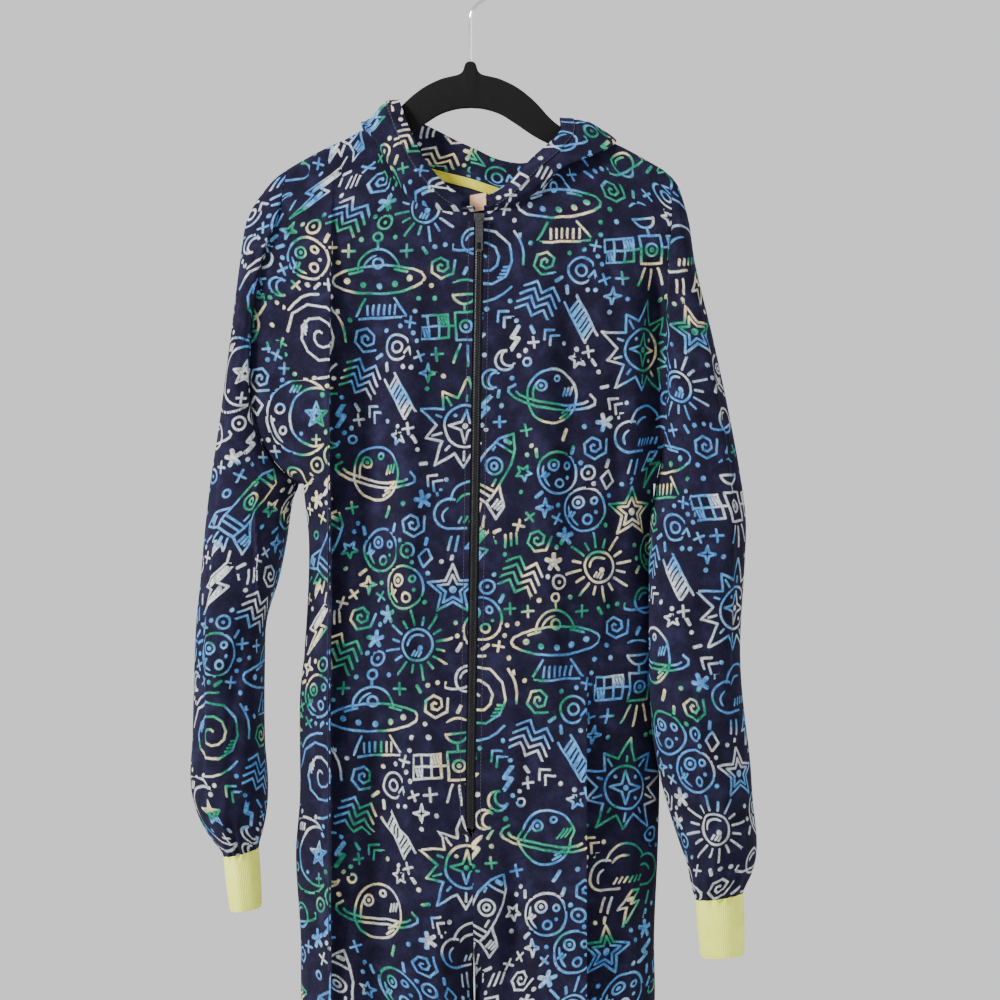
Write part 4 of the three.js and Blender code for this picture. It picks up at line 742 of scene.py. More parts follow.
# The print: generic doodles of the sky, drawn with lines, rings and arcs about their own middles.
def chain(points, closed=False, thick=0.0):
    ends = points[1:] + points[:1] if closed else points[1:]
    return [("line", *a, *b, thick) for a, b in zip(points, ends)]


def star_points(count, far, near, x=0.0, y=0.0, turn=90.0):
    points = []
    for k in range(2 * count):
        reach = far if k % 2 == 0 else near
        angle = math.radians(turn + 180 * k / count)
        points.append((x + reach * math.cos(angle), y + reach * math.sin(angle)))
    return points


def oval(wide, high, start, end, pieces, tilt=0.0, x=0.0, y=0.0, thick=0.0):
    points = []
    turn = math.radians(tilt)
    for k in range(pieces + 1):
        angle = math.radians(start + (end - start) * k / pieces)
        px, py = wide * math.cos(angle), high * math.sin(angle)
        points.append(
            (x + px * math.cos(turn) - py * math.sin(turn), y + px * math.sin(turn) + py * math.cos(turn))
        )
    return chain(points, thick=thick)


def spiral(first, last, turns, pieces, x=0.0, y=0.0):
    points = []
    for k in range(pieces + 1):
        share = k / pieces
        angle = 2 * math.pi * turns * share
        reach = first + (last - first) * share
        points.append((x + reach * math.cos(angle), y + reach * math.sin(angle)))
    return chain(points)


def mirrored(points):
    return [(-x, y) for x, y in points]


def hatch(x, y, count, step, length, lean=70.0, thick=0.0):
    """Short strokes side by side, as shading."""
    angle = math.radians(lean)
    dx, dy = length / 2 * math.cos(angle), length / 2 * math.sin(angle)
    return [
        ("line", x + k * step - dx, y - dy, x + k * step + dx, y + dy, thick) for k in range(count)
    ]


def spark(x, y, size):
    return [("line", x - size, y, x + size, y, 0), ("line", x, y - size, x, y + size, 0)]


def planet():
    return (
        [("ring", 0, 0, 23, 0), ("ring", -8, 11, 4.4, 0), ("ring", 7, 14, 2.4, 0), ("dot", -8, 11, 1.6, 0)]
        + oval(40, 11, 150, 390, 12, -18)
        + oval(33, 6.5, 185, 355, 8, -18)
        + [("arc", 0, 0, 17.5, 150, 30, 0), ("line", 6, -16, 16, -12, 0), ("line", 3, -20, 11, -17, 0)]
        + hatch(12, 1, 3, 3.4, 7, 60)
        + chain(star_points(5, 7.5, 3.4, 29, 27), True)
        + spark(-29, -24, 5)
        + [("dot", -33, 22, 2.0, 0), ("dot", 24, -31, 2.0, 0)]
        + [("ring", -18, 33, 3.4, 0), ("line", 3, -38, 8, -31, 0.6)]
    )


def rocket():
    hull = [(0, 43), (8, 33), (12, 19), (12, -8), (9, -19), (-9, -19), (-12, -8), (-12, 19), (-8, 33)]
    fin = [(12, -1), (24, -15), (24, -27), (9.5, -19)]
    flame = [(-6, -22), (-8, -32), (-3, -28), (0, -42), (3, -28), (8, -32), (6, -22)]
    return (
        chain(hull, True)
        + chain(fin)
        + chain(mirrored(fin))
        + chain(flame)
        + [("line", -9.5, 29, 9.5, 29, 0), ("line", -12, -8, 12, -8, 0), ("line", -11, -13, 11, -13, 0)]
        + [("ring", 0, 11, 6.8, 0), ("ring", 0, 11, 2.6, 0), ("line", -2, 35, 2, 35, 1.0)]
        + hatch(16, -16, 3, 2.8, 7, 80)
        + hatch(-22, -17, 3, 2.8, 7, 100)
        + [("line", 0, -24, 0, -33, 0.7), ("line", 7, -4, 7, 2, 0), ("line", -8, 22, -8, 25, 0)]
        + chain(star_points(5, 7, 3.2, 25, 18), True)
        + spark(-25, 22, 5.5)
        + [("ring", -26, 5, 3.2, 0), ("dot", 20, 33, 2.0, 0), ("dot", -21, 35, 1.8, 0), ("dot", 31, 3, 1.8, 0)]
        + [("line", 14, -30, 17, -38, 0), ("line", -14, -30, -17, -38, 0)]
    )


def moon():
    return (
        [("arc", 0, 0, 32, 180, 131.6, 0), ("arc", 14, 0, 25, 180, 106.9, 0)]
        + [("ring", -20, 7, 4, 0), ("ring", -17, -12, 3, 0)]
        + [("dot", -26, -3, 1.6, 0), ("arc", 0, 0, 27.5, 205, 22, 0)]
        + chain(star_points(5, 11, 4.8, 14, 2), True)
        + chain(star_points(5, 5.2, 2.3, 14, 2), True)
        + hatch(-9, 24, 3, 3.2, 6, 60)
        + spark(14, -19, 4)
        + [("dot", 24, -12, 2.0, 0), ("dot", 20, 19, 2.2, 0), ("dot", 0, -14, 1.6, 0)]
    )


def saucer():
    return (
        oval(40, 12, 0, 360, 18, 0, 0, -2)
        + [("arc", 0, 6, 18, 90, 86, 0), ("arc", 0, 6, 12.5, 128, 26, 0), ("ring", 0, 12, 4.0, 0)]
        + [("dot", -27, -2, 2.6, 0), ("dot", -14, -6, 2.6, 0), ("dot", 0, -7.5, 2.6, 0), ("dot", 14, -6, 2.6, 0)]
        + [("dot", 27, -2, 2.6, 0), ("line", -25, 4, -14, 6.5, 0), ("line", 14, 6.5, 25, 4, 0)]
        + chain([(-13, -18), (-24, -35), (24, -35), (13, -18)])
        + hatch(-12, -28, 6, 5, 8, 80)
        + [("line", 0, 24, 0, 31, 0), ("ring", 0, 35, 3.6, 0)]
        + spark(-25, 24, 5)
        + spark(25, 22, 5)
        + [("dot", -14, 33, 2.0, 0), ("dot", 15, 34, 2.0, 0), ("dot", -34, 14, 1.8, 0), ("dot", 34, -20, 2.0, 0)]
    )


def comet():
    return (
        chain(star_points(5, 19, 8.5, -16, -16, 75), True)
        + chain(star_points(5, 9, 4, -16, -16, 75), True)
        + chain([(-3, -8), (9, 5), (20, 14), (36, 20)])
        + chain([(1, -17), (14, -7), (25, -2), (38, 2)])
        + chain([(-13, 4), (-4, 17), (6, 27), (18, 35)])
        + chain([(-6, 2), (3, 14), (14, 24)])
        + chain([(6, -8), (16, 1), (28, 8)])
        + hatch(20, 21, 3, 4, 7, 40)
        + [("dot", 12, -20, 2.2, 0), ("dot", -29, 10, 2.2, 0), ("ring", 22, -22, 4, 0), ("ring", -26, 24, 5, 0)]
        + spark(3, -32, 4.5)
        + spark(-12, 33, 4)
    )


def burst():
    spikes = []
    for k, (x, y) in enumerate(star_points(10, 42, 25)):
        grow = (1.0, 1.0, 0.84, 0.94)[k % 4]
        spikes.append((x * grow, y * grow))
    rays = []
    for k in range(10):
        angle = math.radians(36 * k + 18)
        far = 29 if k % 2 else 26
        across, up = math.cos(angle), math.sin(angle)
        rays.append(("line", 22 * across, 22 * up, far * across, far * up, 0))
    return (
        chain(spikes, True)
        + rays
        + [("ring", 0, 0, 18, 0)]
        + chain(star_points(4, 14, 5.0), True)
        + [("dot", 0, 0, 2.4, 0), ("dot", 9, 9, 1.6, 0), ("dot", -9, 9, 1.6, 0), ("dot", 9, -9, 1.6, 0)]
    )


def satellite():
    panel = [(15, -10), (40, -10), (40, 10), (15, 10)]
    lines = [("line", 15, 0, 40, 0, 0), ("line", 23, -10, 23, 10, 0), ("line", 32, -10, 32, 10, 0)]
    shade = hatch(17, 5, 3, 2.6, 6, 75) + hatch(34, -5, 2, 2.6, 6, 75)
    right = lines + shade
    left = [("line", -a, b, -c, d, thick) for _, a, b, c, d, thick in right]
    return (
        chain([(-9, -13), (9, -13), (9, 11), (-9, 11)], True)
        + chain(panel, True)
        + chain(mirrored(panel), True)
        + right
        + left
        + [("line", 9, 0, 15, 0, 0), ("line", -9, 0, -15, 0, 0), ("ring", 0, -1, 5, 0), ("dot", 0, -1, 2, 0)]
        + [("line", 0, 11, 0, 18, 0), ("arc", 0, 28, 10, 270, 82, 0), ("line", -10, 26, 10, 26, 0)]
        + [("arc", 0, 26, 13.5, 90, 34, 0), ("line", -6, -17, -12, -31, 0), ("line", 6, -17, 12, -31, 0)]
        + [("line", 0, -18, 0, -35, 0), ("dot", -25, 25, 2.2, 0), ("dot", 25, -24, 2.2, 0)]
        + chain(star_points(5, 7, 3.2, 26, 25), True)
        + spark(-26, -24, 5.5)
    )


def cloud_bolt():
    bolt = [(5, -8), (-8, -23), (0, -22), (-6, -38), (13, -18), (4, -19), (12, -8)]
    return (
        [("arc", -19, 8, 13, 165, 100, 0), ("arc", 0, 15, 18, 92, 72, 0), ("arc", 20, 8, 13, 15, 100, 0)]
        + [("line", -22, -5, -6, -5, 0), ("line", 14, -5, 23, -5, 0), ("arc", -2, 12, 11, 110, 34, 0)]
        + [("arc", -18, 6, 7, 160, 50, 0), ("arc", 17, 6, 7, 60, 50, 0), ("line", 2, -15, 6, -15, 0.8)]
        + chain(bolt, True)
        + hatch(-10, 2, 6, 4.5, 5, 60)
        + [("line", -19, -12, -23, -22, 0), ("line", 24, -12, 20, -22, 0), ("line", -13, -12, -17, -24, 0)]
        + [("line", -20, -28, -22, -33, 0.5), ("line", 20, -28, 17, -34, 0.5), ("dot", 28, -24, 1.8, 0)]
        + spark(-28, 29, 4)
        + [("dot", 27, 28, 2.0, 0)]
    )


def galaxy():
    dots = [("dot", 34, -18, 2.2, 0), ("dot", -30, 25, 2, 0), ("dot", -36, -8, 2, 0), ("dot", 10, 37, 2.2, 0)]
    return (
        spiral(3, 30, 2.3, 24)
        + oval(37, 33, 200, 255, 4)
        + oval(37, 33, 20, 75, 4)
        + oval(36, 34, 290, 340, 4)
        + dots
        + hatch(-3, 15, 3, 3.4, 5, 30)
        + hatch(-6, -20, 4, 3.4, 5, 120)
        + spark(-22, 31, 4)
    )


def globe():
    return (
        [("ring", 0, 0, 25, 0), ("line", -25, 0, 25, 0, 0), ("line", -21, 13, 21, 13, 0)]
        + [("line", -21, -13, 21, -13, 0), ("ring", 32, 20, 4.4, 0), ("dot", 32, 20, 1.8, 0)]
        + oval(10, 25, 0, 360, 12)
        + oval(40, 13, 160, 380, 10, 24)
        + hatch(10, -6, 4, 3, 7, 80)
        + hatch(-21, 6, 3, 3, 7, 80)
        + chain(star_points(5, 6.5, 3, -28, 27), True)
        + spark(27, -28, 5)
        + [("dot", -13, 34, 2, 0), ("dot", -24, -31, 2.2, 0), ("dot", 4, -34, 2, 0), ("dot", 36, -8, 1.8, 0)]
    )


def flare():
    rays = []
    for k in range(16):
        angle = math.radians(22.5 * k)
        near, far = (17, 30) if k % 2 else (17, 23.5)
        rays.append(
            ("line", near * math.cos(angle), near * math.sin(angle), far * math.cos(angle), far * math.sin(angle), 0)
        )
    disc = [("ring", 0, 0, 13, 0), ("arc", 0, 0, 8.5, 130, 60, 0), ("dot", 3, -2, 2.4, 0)]
    return disc + rays + hatch(-2, -7, 3, 3, 4, 70)


def big_bolt():
    outline = [(5, 25), (-12, -2), (-1, -2), (-7, -25), (13, 5), (2, 5), (12, 25)]
    fill = [("line", 6, 19, -4, 2, 1.6), ("line", 6, 1, 0, -13, 1.2)]
    marks = [("line", 16, 18, 19, 12, 0), ("line", -16, -10, -13, -17, 0), ("dot", -13, 15, 2, 0)]
    return chain(outline, True) + fill + marks


def double_star():
    return chain(star_points(5, 22, 10), True) + chain(star_points(5, 13, 6), True) + [("dot", 0, 0, 3, 0)]


def turning_arrow():
    return [("arc", 0, 0, 11, 215, 138, 0), ("line", 7.5, 8, 13.5, 5.5, 0), ("line", 7.5, 8, 8.5, 1.6, 0)] + [
        ("ring", 0, 0, 4.6, 0)
    ]


def zigzags():
    rows = []
    for level in (11, 4, -3, -10):
        rows += chain([(-17, level - 4), (-8, level + 4), (0, level - 4), (8, level + 4), (17, level - 4)])
    return rows


def ladder():
    """Two rails with slanted rungs, half of them broad."""
    rails = [("line", -6, -20, -6, 20, 0), ("line", 6, -20, 6, 20, 0)]
    rungs = [("line", -5, level - 2, 5, level + 3, 0.9 if k % 2 else 0) for k, level in enumerate(range(-17, 18, 5))]
    return rails + rungs


def crater():
    return (
        [("ring", 0, 0, 18, 0), ("ring", -6, 5, 4.6, 0), ("ring", 7, 8, 2.6, 0), ("ring", 4, -8, 3.6, 0)]
        + [("dot", -6, 5, 1.8, 0), ("arc", 0, 0, 13.5, 215, 34, 0), ("dot", 10, -1, 1.5, 0)]
        + hatch(-12, -6, 2, 2.8, 5, 60)
    )


def small_planet():
    return [("ring", 0, 0, 10.5, 0), ("arc", 0, 0, 6.5, 130, 40, 0)] + oval(21, 6, 155, 385, 10, 20)


def small_spiral():
    return spiral(1, 12.5, 1.9, 12)


def small_cloud():
    return [
        ("arc", -10, 0, 8, 170, 96, 0),
        ("arc", 1, 5, 11, 88, 74, 0),
        ("arc", 12, 0, 7, 10, 96, 0),
        ("line", -11, -8, 12, -7, 0),
    ]


def small_star():
    return chain(star_points(5, 8.6, 3.9), True)


def filled_star():
    return [("line", 0, 0, 6.6 * math.cos(a), 6.6 * math.sin(a), 0.9) for a in np.radians([90, 162, 234, 306, 18])] + [
        ("dot", 0, 0, 3.4, 0)
    ]


def plus():
    return spark(0, 0, 4.6)


def sparkle():
    return chain(star_points(4, 7.4, 2.3), True)


def tick():
    return [("line", -1.2, -2.6, 1.2, 2.6, 0.5)]


def speck():
    return [("dot", 0, 0, 1.9, 0)]


def small_ring():
    return [("ring", 0, 0, 5.8, 0), ("dot", 0, 0, 1.5, 0)]


def diamond():
    return chain([(0, 8), (6, 0), (0, -8), (-6, 0)], True)


def small_bolt():
    return chain([(4, 9.5), (-3, 0.8), (3, -0.8), (-4, -9.5)], thick=0.9)


def small_moon():
    return [("arc", 0, 0, 8, 180, 128, 0), ("arc", 4.6, 0, 6.6, 180, 100, 0)]


def chevrons():
    return chain([(-6, -1), (0, 5), (6, -1)]) + chain([(-6, -8), (0, -2), (6, -8)])


def dots():
    return [("dot", -7, 0, 1.9, 0), ("dot", 0, 0, 1.9, 0), ("dot", 7, 0, 1.9, 0)]


def dashes():
    return [("line", -5, -5, -2, 5, 0), ("line", 0, -5, 3, 5, 0), ("line", 5, -5, 8, 5, 0)]


# Each doodle with the radius that it fills, how far it may turn, and how often it is laid first.
DOODLES = [
    (planet, 42, 16, 1),
    (rocket, 41, 34, 1),
    (burst, 42, 30, 1),
    (satellite, 40, 30, 1),
    (saucer, 40, 14, 1),
    (globe, 40, 10, 1),
    (comet, 39, 24, 1),
    (cloud_bolt, 37, 8, 1),
    (galaxy, 38, 90, 1),
    (moon, 32.5, 20, 1),
    (flare, 30.5, 20, 1),
    (big_bolt, 23, 20, 2),
    (double_star, 22, 20, 2),
    (ladder, 20.5, 40, 2),
    (small_planet, 20.5, 20, 2),
    (zigzags, 19.5, 30, 2),
    (crater, 19, 30, 2),
    (small_cloud, 18, 10, 1),
    (turning_arrow, 14, 60, 2),
    (small_spiral, 13.5, 90, 2),
    (small_bolt, 10.2, 20, 0),
    (small_star, 9.2, 30, 0),
    (chevrons, 9.0, 60, 0),
    (small_moon, 8.8, 40, 0),
    (diamond, 8.6, 15, 0),
    (dots, 8.6, 60, 0),
    (filled_star, 7.8, 30, 0),
    (dashes, 8.0, 30, 0),
    (sparkle, 7.4, 20, 0),
    (small_ring, 6.9, 0, 0),
    (plus, 5.4, 40, 0),
    (tick, 3.6, 60, 0),
    (speck, 2.6, 0, 0),
]
TILE_WIDTH = 306.0
TILE_HEIGHT = 374.0
DOODLE_GAP = 1.1
DOODLE_GRID = 2.4


def lay_doodles():
    """Places for the doodles on a repeating tile: the large ones first, then what fits between."""
    dice = np.random.default_rng(41)
    wide, high = np.meshgrid(np.arange(0, TILE_WIDTH, DOODLE_GRID), np.arange(0, TILE_HEIGHT, DOODLE_GRID))
    spots = np.stack([wide.ravel(), high.ravel()], axis=1) + dice.uniform(-1, 1, (wide.size, 2))
    room = np.full(len(spots), 60.0)
    size = np.array([TILE_WIDTH, TILE_HEIGHT])
    radii = np.array([radius for _, radius, _, _ in DOODLES])
    placed = []

    def put(kind, spot):
        swing = DOODLES[kind][2]
        x, y = spots[spot]
        placed.append((x, y, radii[kind], kind, math.radians(dice.uniform(-swing, swing))))
        away = (spots - spots[spot] + size / 2) % size - size / 2
        room[:] = np.minimum(room, np.linalg.norm(away, axis=1) - radii[kind] - DOODLE_GAP)

    for kind, (_, radius, _, times) in enumerate(DOODLES):
        for _ in range(times):
            open_spots = np.flatnonzero(room >= radius)
            if len(open_spots):
                snug = open_spots[np.argsort(room[open_spots])[: max(6, len(open_spots) // 9)]]
                put(kind, dice.choice(snug))
    while room.max() >= radii.min():
        spot = int(np.argmax(room))
        fitting = np.flatnonzero(radii <= room[spot])
        largest = radii[fitting].max()
        put(dice.choice(fitting[radii[fitting] > 0.7 * largest]), spot)
    return np.array(placed)


PLACED = lay_doodles()


QUARTER_FROM = 30.0
QUARTER_REACH = 7.0


def near_quarter(part, quarter):
    """Whether a part of a doodle comes near one of its quarters; all of a small doodle counts."""
    kind, *sizes = part
    if kind == "line":
        share = np.linspace(0, 1, 12)
        x = sizes[0] + (sizes[2] - sizes[0]) * share
        y = sizes[1] + (sizes[3] - sizes[1]) * share
    else:
        middle, half = (sizes[3], sizes[4]) if kind == "arc" else (0, 180)
        angle = np.radians(np.linspace(middle - half, middle + half, 48))
        x, y = sizes[0] + sizes[2] * np.cos(angle), sizes[1] + sizes[2] * np.sin(angle)
    across = x > -QUARTER_REACH if quarter & 1 else x < QUARTER_REACH
    upward = y > -QUARTER_REACH if quarter & 2 else y < QUARTER_REACH
    return bool((across & upward).any())


def doodle_materials():
    """For each doodle, its quarters: the parts that each needs, and the number of its material."""
    drawn, numbers = [], []
    for draw, radius, _, _ in DOODLES:
        quarters = range(4) if radius > QUARTER_FROM else [None]
        numbers.append([len(drawn) + 1 + (quarter if quarters == range(4) else 0) for quarter in range(4)])
        for quarter in quarters:
            parts = [part for part in draw() if quarter is None or near_quarter(part, quarter)]
            drawn.append((draw.__name__ + ("" if quarter is None else f"_{quarter}"), parts))
    return drawn, np.array(numbers)


DRAWN, DOODLE_NUMBERS = doodle_materials()


def print_cells(corner_u, corner_v):
    """For faces with corners at u, v of the flat cloth: the material of each, and where in it."""
    u, v = corner_u.mean(axis=1), corner_v.mean(axis=1)
    dx = (u[:, None] - PLACED[:, 0] + TILE_WIDTH / 2) % TILE_WIDTH - TILE_WIDTH / 2
    dy = (v[:, None] - PLACED[:, 1] + TILE_HEIGHT / 2) % TILE_HEIGHT - TILE_HEIGHT / 2
    nearest = np.argmin(dx * dx + dy * dy - PLACED[:, 2] ** 2, axis=1)
    every = np.arange(len(u))
    x = dx[every, nearest][:, None] + corner_u - u[:, None]
    y = dy[every, nearest][:, None] + corner_v - v[:, None]
    turn = PLACED[nearest, 4][:, None]
    local = np.stack([x * np.cos(turn) + y * np.sin(turn), -x * np.sin(turn) + y * np.cos(turn)], axis=-1)
    quarter = (local[..., 0].mean(axis=1) > 0) + 2 * (local[..., 1].mean(axis=1) > 0)
    return DOODLE_NUMBERS[PLACED[nearest, 3].astype(int), quarter], local


# Materials. Each is made of nodes; a number that holds all over stays on the shader's own socket.
class Graph:
    def __init__(self, tree):
        self.tree = tree

    def node(self, kind, **settings):
        made = self.tree.nodes.new(kind)
        for key, value in settings.items():
            setattr(made, key, value)
        return made

    def feed(self, socket, value):
        if isinstance(value, bpy.types.NodeSocket):
            self.tree.links.new(value, socket)
        elif value is not None:
            socket.default_value = value

    def math(self, operation, a, b=None, clamp=False):
        made = self.node("ShaderNodeMath", operation=operation, use_clamp=clamp)
        self.feed(made.inputs[0], a)
        self.feed(made.inputs[1], b)
        return made.outputs[0]

    def vector(self, operation, a, b=None, c=None, scale=None):
        made = self.node("ShaderNodeVectorMath", operation=operation)
        self.feed(made.inputs[0], a)
        self.feed(made.inputs[1], b)
        self.feed(made.inputs[2], c)
        if scale is not None:
            self.feed(made.inputs["Scale"], scale)
        number = operation in ("DOT_PRODUCT", "LENGTH", "DISTANCE")
        return made.outputs["Value" if number else "Vector"]

    def noise(self, where, scale, detail=2.0, rough=0.5):
        made = self.node("ShaderNodeTexNoise")
        self.feed(made.inputs["Vector"], where)
        made.inputs["Scale"].default_value = scale
        made.inputs["Detail"].default_value = detail
        made.inputs["Roughness"].default_value = rough
        return made

    def ramp(self, factor, *stops):
        made = self.node("ShaderNodeValToRGB")
        elements = made.color_ramp.elements
        while len(elements) < len(stops):
            elements.new(0.5)
        for element, (position, color) in zip(elements, stops):
            element.position = position
            element.color = (*color, 1)
        self.feed(made.inputs[0], factor)
        return made.outputs[0]

    def mix(self, factor, a, b, blend="MIX"):
        made = self.node("ShaderNodeMix", data_type="RGBA", blend_type=blend)
        self.feed(made.inputs[0], factor)
        self.feed(made.inputs[6], a if isinstance(a, bpy.types.NodeSocket) else (*a, 1))
        self.feed(made.inputs[7], b if isinstance(b, bpy.types.NodeSocket) else (*b, 1))
        return made.outputs[2]

    def map_range(self, value, low, high, out_low=0.0, out_high=1.0, smooth=True):
        made = self.node("ShaderNodeMapRange", interpolation_type="SMOOTHSTEP" if smooth else "LINEAR")
        self.feed(made.inputs["Value"], value)
        made.inputs["From Min"].default_value = low
        made.inputs["From Max"].default_value = high
        made.inputs["To Min"].default_value = out_low
        made.inputs["To Max"].default_value = out_high
        return made.outputs["Result"]

    def uv(self, name):
        return self.node("ShaderNodeUVMap", uv_map=name).outputs["UV"]

    def place(self):
        return self.node("ShaderNodeTexCoord").outputs["Object"]


def new_material(name, roughness, metallic=0.0, sheen=0.0, sheen_tint=None, coat=0.0, specular=0.5):
    """A material with an empty graph and its shader."""
    material = bpy.data.materials.new(name)
    material.use_nodes = True
    graph = Graph(material.node_tree)
    shader = material.node_tree.nodes["Principled BSDF"]
    shader.inputs["Roughness"].default_value = roughness
    shader.inputs["Metallic"].default_value = metallic
    shader.inputs["Sheen Weight"].default_value = sheen
    shader.inputs["Sheen Roughness"].default_value = 0.6
    shader.inputs["Specular IOR Level"].default_value = specular
    shader.inputs["Coat Weight"].default_value = coat
    if sheen_tint:
        shader.inputs["Sheen Tint"].default_value = (*sheen_tint, 1)
    return material, graph, shader


def bump(graph, shader, height, distance, strength=1.0):
    made = graph.node("ShaderNodeBump")
    made.inputs["Strength"].default_value = strength
    made.inputs["Distance"].default_value = distance
    graph.feed(made.inputs["Height"], height)
    graph.tree.links.new(made.outputs["Normal"], shader.inputs["Normal"])


NAVY_DEEP = (0.0052, 0.0042, 0.0115)
NAVY = (0.0078, 0.0066, 0.0190)
NAVY_LIFT = (0.0135, 0.0125, 0.0345)
INK_BLUE = (0.050, 0.19, 0.47)
INK_SKY = (0.11, 0.31, 0.58)
INK_WHITE = (0.50, 0.53, 0.54)
INK_GREEN = (0.008, 0.19, 0.10)
INK_MINT = (0.035, 0.32, 0.18)
INK_CREAM = (0.74, 0.64, 0.35)
STROKE_HALF = 0.92


def fleece_group():
    """The printed fleece: a distance from the drawn lines in, its colour and nap height out."""
    tree = bpy.data.node_groups.new("printed_fleece", "ShaderNodeTree")
    tree.interface.new_socket("Distance", in_out="INPUT", socket_type="NodeSocketFloat")
    tree.interface.new_socket("Color", in_out="OUTPUT", socket_type="NodeSocketColor")
    tree.interface.new_socket("Height", in_out="OUTPUT", socket_type="NodeSocketFloat")
    graph = Graph(tree)
    source = graph.node("NodeGroupInput").outputs["Distance"]
    where = graph.place()
    fibre = graph.noise(where, 1150, 2.0, 0.6).outputs["Fac"]
    nap = graph.noise(where, 330, 3.0, 0.62).outputs["Fac"]
    mottle = graph.noise(where, 68, 3.0, 0.6).outputs["Fac"]
    drift = graph.noise(where, 11.5, 1.2, 0.45).outputs["Fac"]
    rough_edge = graph.math("MULTIPLY", graph.math("SUBTRACT", nap, 0.5), 1.7)
    distance = graph.math("ADD", source, rough_edge)
    mask = graph.map_range(distance, STROKE_HALF + 0.6, STROKE_HALF - 0.5)
    worn = graph.map_range(nap, 0.36, 0.6, 0.45, 1.0)
    mask = graph.math("MULTIPLY", mask, worn)
    cloth = graph.ramp(mottle, (0.32, NAVY_DEEP), (0.52, NAVY), (0.72, NAVY_LIFT))
    speckle = graph.map_range(fibre, 0.55, 0.78, 0.0, 0.38)
    cloth = graph.mix(speckle, cloth, (0.030, 0.031, 0.075))
    ink = graph.ramp(
        drift,
        (0.37, INK_WHITE),
        (0.41, INK_SKY),
        (0.465, INK_BLUE),
        (0.50, INK_SKY),
        (0.525, INK_GREEN),
        (0.57, INK_MINT),
        (0.60, INK_CREAM),
        (0.68, INK_WHITE),
    )
    shade = graph.map_range(fibre, 0.3, 0.7, 0.82, 1.12, False)
    ink = graph.mix(1.0, ink, graph.node_color(shade), "MULTIPLY")
    color = graph.mix(mask, cloth, ink)
    height = graph.math("ADD", graph.math("MULTIPLY", nap, 0.7), graph.math("MULTIPLY", fibre, 0.5))
    out = graph.node("NodeGroupOutput")
    graph.feed(out.inputs["Color"], color)
    graph.feed(out.inputs["Height"], height)
    return tree


def node_color(self, value):
    made = self.node("ShaderNodeCombineColor")
    for socket in made.inputs:
        self.feed(socket, value)
    return made.outputs[0]


Graph.node_color = node_color


def stroke_distance(graph, where, part):
    """How far a point is from one line, ring, arc or dot of a doodle."""
    kind, *sizes = part
    if kind == "line":
        ax, ay, bx, by, thick = sizes
        span = (bx - ax, by - ay, 0)
        square = span[0] ** 2 + span[1] ** 2
        from_start = graph.vector("SUBTRACT", where, (ax, ay, 0))
        along = graph.vector("DOT_PRODUCT", from_start, (span[0] / square, span[1] / square, 0))
        along = graph.math("ADD", along, 0.0, clamp=True)
        beside = graph.vector("MULTIPLY_ADD", along, (-span[0], -span[1], 0), from_start)
        distance = graph.vector("LENGTH", beside)
        return graph.math("SUBTRACT", distance, thick) if thick else distance
    x, y, radius = sizes[:3]
    away = graph.vector("DISTANCE", where, (x, y, 0))
    if kind == "dot":
        return graph.math("SUBTRACT", away, radius - STROKE_HALF)
    band = graph.math("ABSOLUTE", graph.math("SUBTRACT", away, radius))
    if kind == "ring":
        return band
    facing, half = sizes[3:5]
    angle = math.radians(facing)
    toward = (math.cos(angle), math.sin(angle), 0)
    along = graph.vector("DOT_PRODUCT", graph.vector("SUBTRACT", where, (x, y, 0)), toward)
    short = graph.math("SUBTRACT", radius * math.cos(math.radians(half)), along)
    return graph.math("ADD", band, graph.math("MAXIMUM", short, 0.0))


def printed_material(name, parts, group):
    material, graph, shader = new_material(name, 0.94, sheen=0.025, sheen_tint=(0.5, 0.55, 0.9), specular=0.06)
    local = graph.vector("SCALE", graph.uv("print"), scale=100.0)
    sway = graph.noise(graph.place(), 55, 1.0).outputs["Color"]
    sway = graph.vector("MULTIPLY_ADD", sway, (3.0, 3.0, 0), (-1.5, -1.5, 0))
    where = graph.vector("ADD", local, sway)
    where = graph.vector("MULTIPLY", where, (1, 1, 0))
    nearest = None
    for part in parts:
        distance = stroke_distance(graph, where, part)
        nearest = distance if nearest is None else graph.math("MINIMUM", nearest, distance)
    fleece = graph.node("ShaderNodeGroup", node_tree=group)
    graph.feed(fleece.inputs["Distance"], nearest)
    graph.feed(shader.inputs["Base Color"], fleece.outputs["Color"])
    bump(graph, shader, fleece.outputs["Height"], 0.0009, 0.55)
    return material


def wrong_side_material():
    """The unprinted back of the fleece, paler, with a short nap."""
    material, graph, shader = new_material(
        "fleece_inside", 0.95, sheen=0.08, sheen_tint=(0.6, 0.6, 0.9), specular=0.12
    )
    where = graph.place()
    nap = graph.noise(where, 420, 3.0, 0.6).outputs["Fac"]
    mottle = graph.noise(where, 60, 2.0).outputs["Fac"]
    color = graph.ramp(mottle, (0.35, (0.010, 0.009, 0.024)), (0.65, (0.020, 0.018, 0.042)))
    ghost = graph.noise(where, 90, 1.0).outputs["Fac"]
    ghost = graph.map_range(ghost, 0.58, 0.66, 0.0, 0.35)
    color = graph.mix(ghost, color, (0.03, 0.06, 0.11))
    color = graph.mix(graph.map_range(nap, 0.55, 0.75, 0, 0.3), color, (0.05, 0.05, 0.09))
    graph.feed(shader.inputs["Base Color"], color)
    bump(graph, shader, nap, 0.0012, 0.6)
    return material


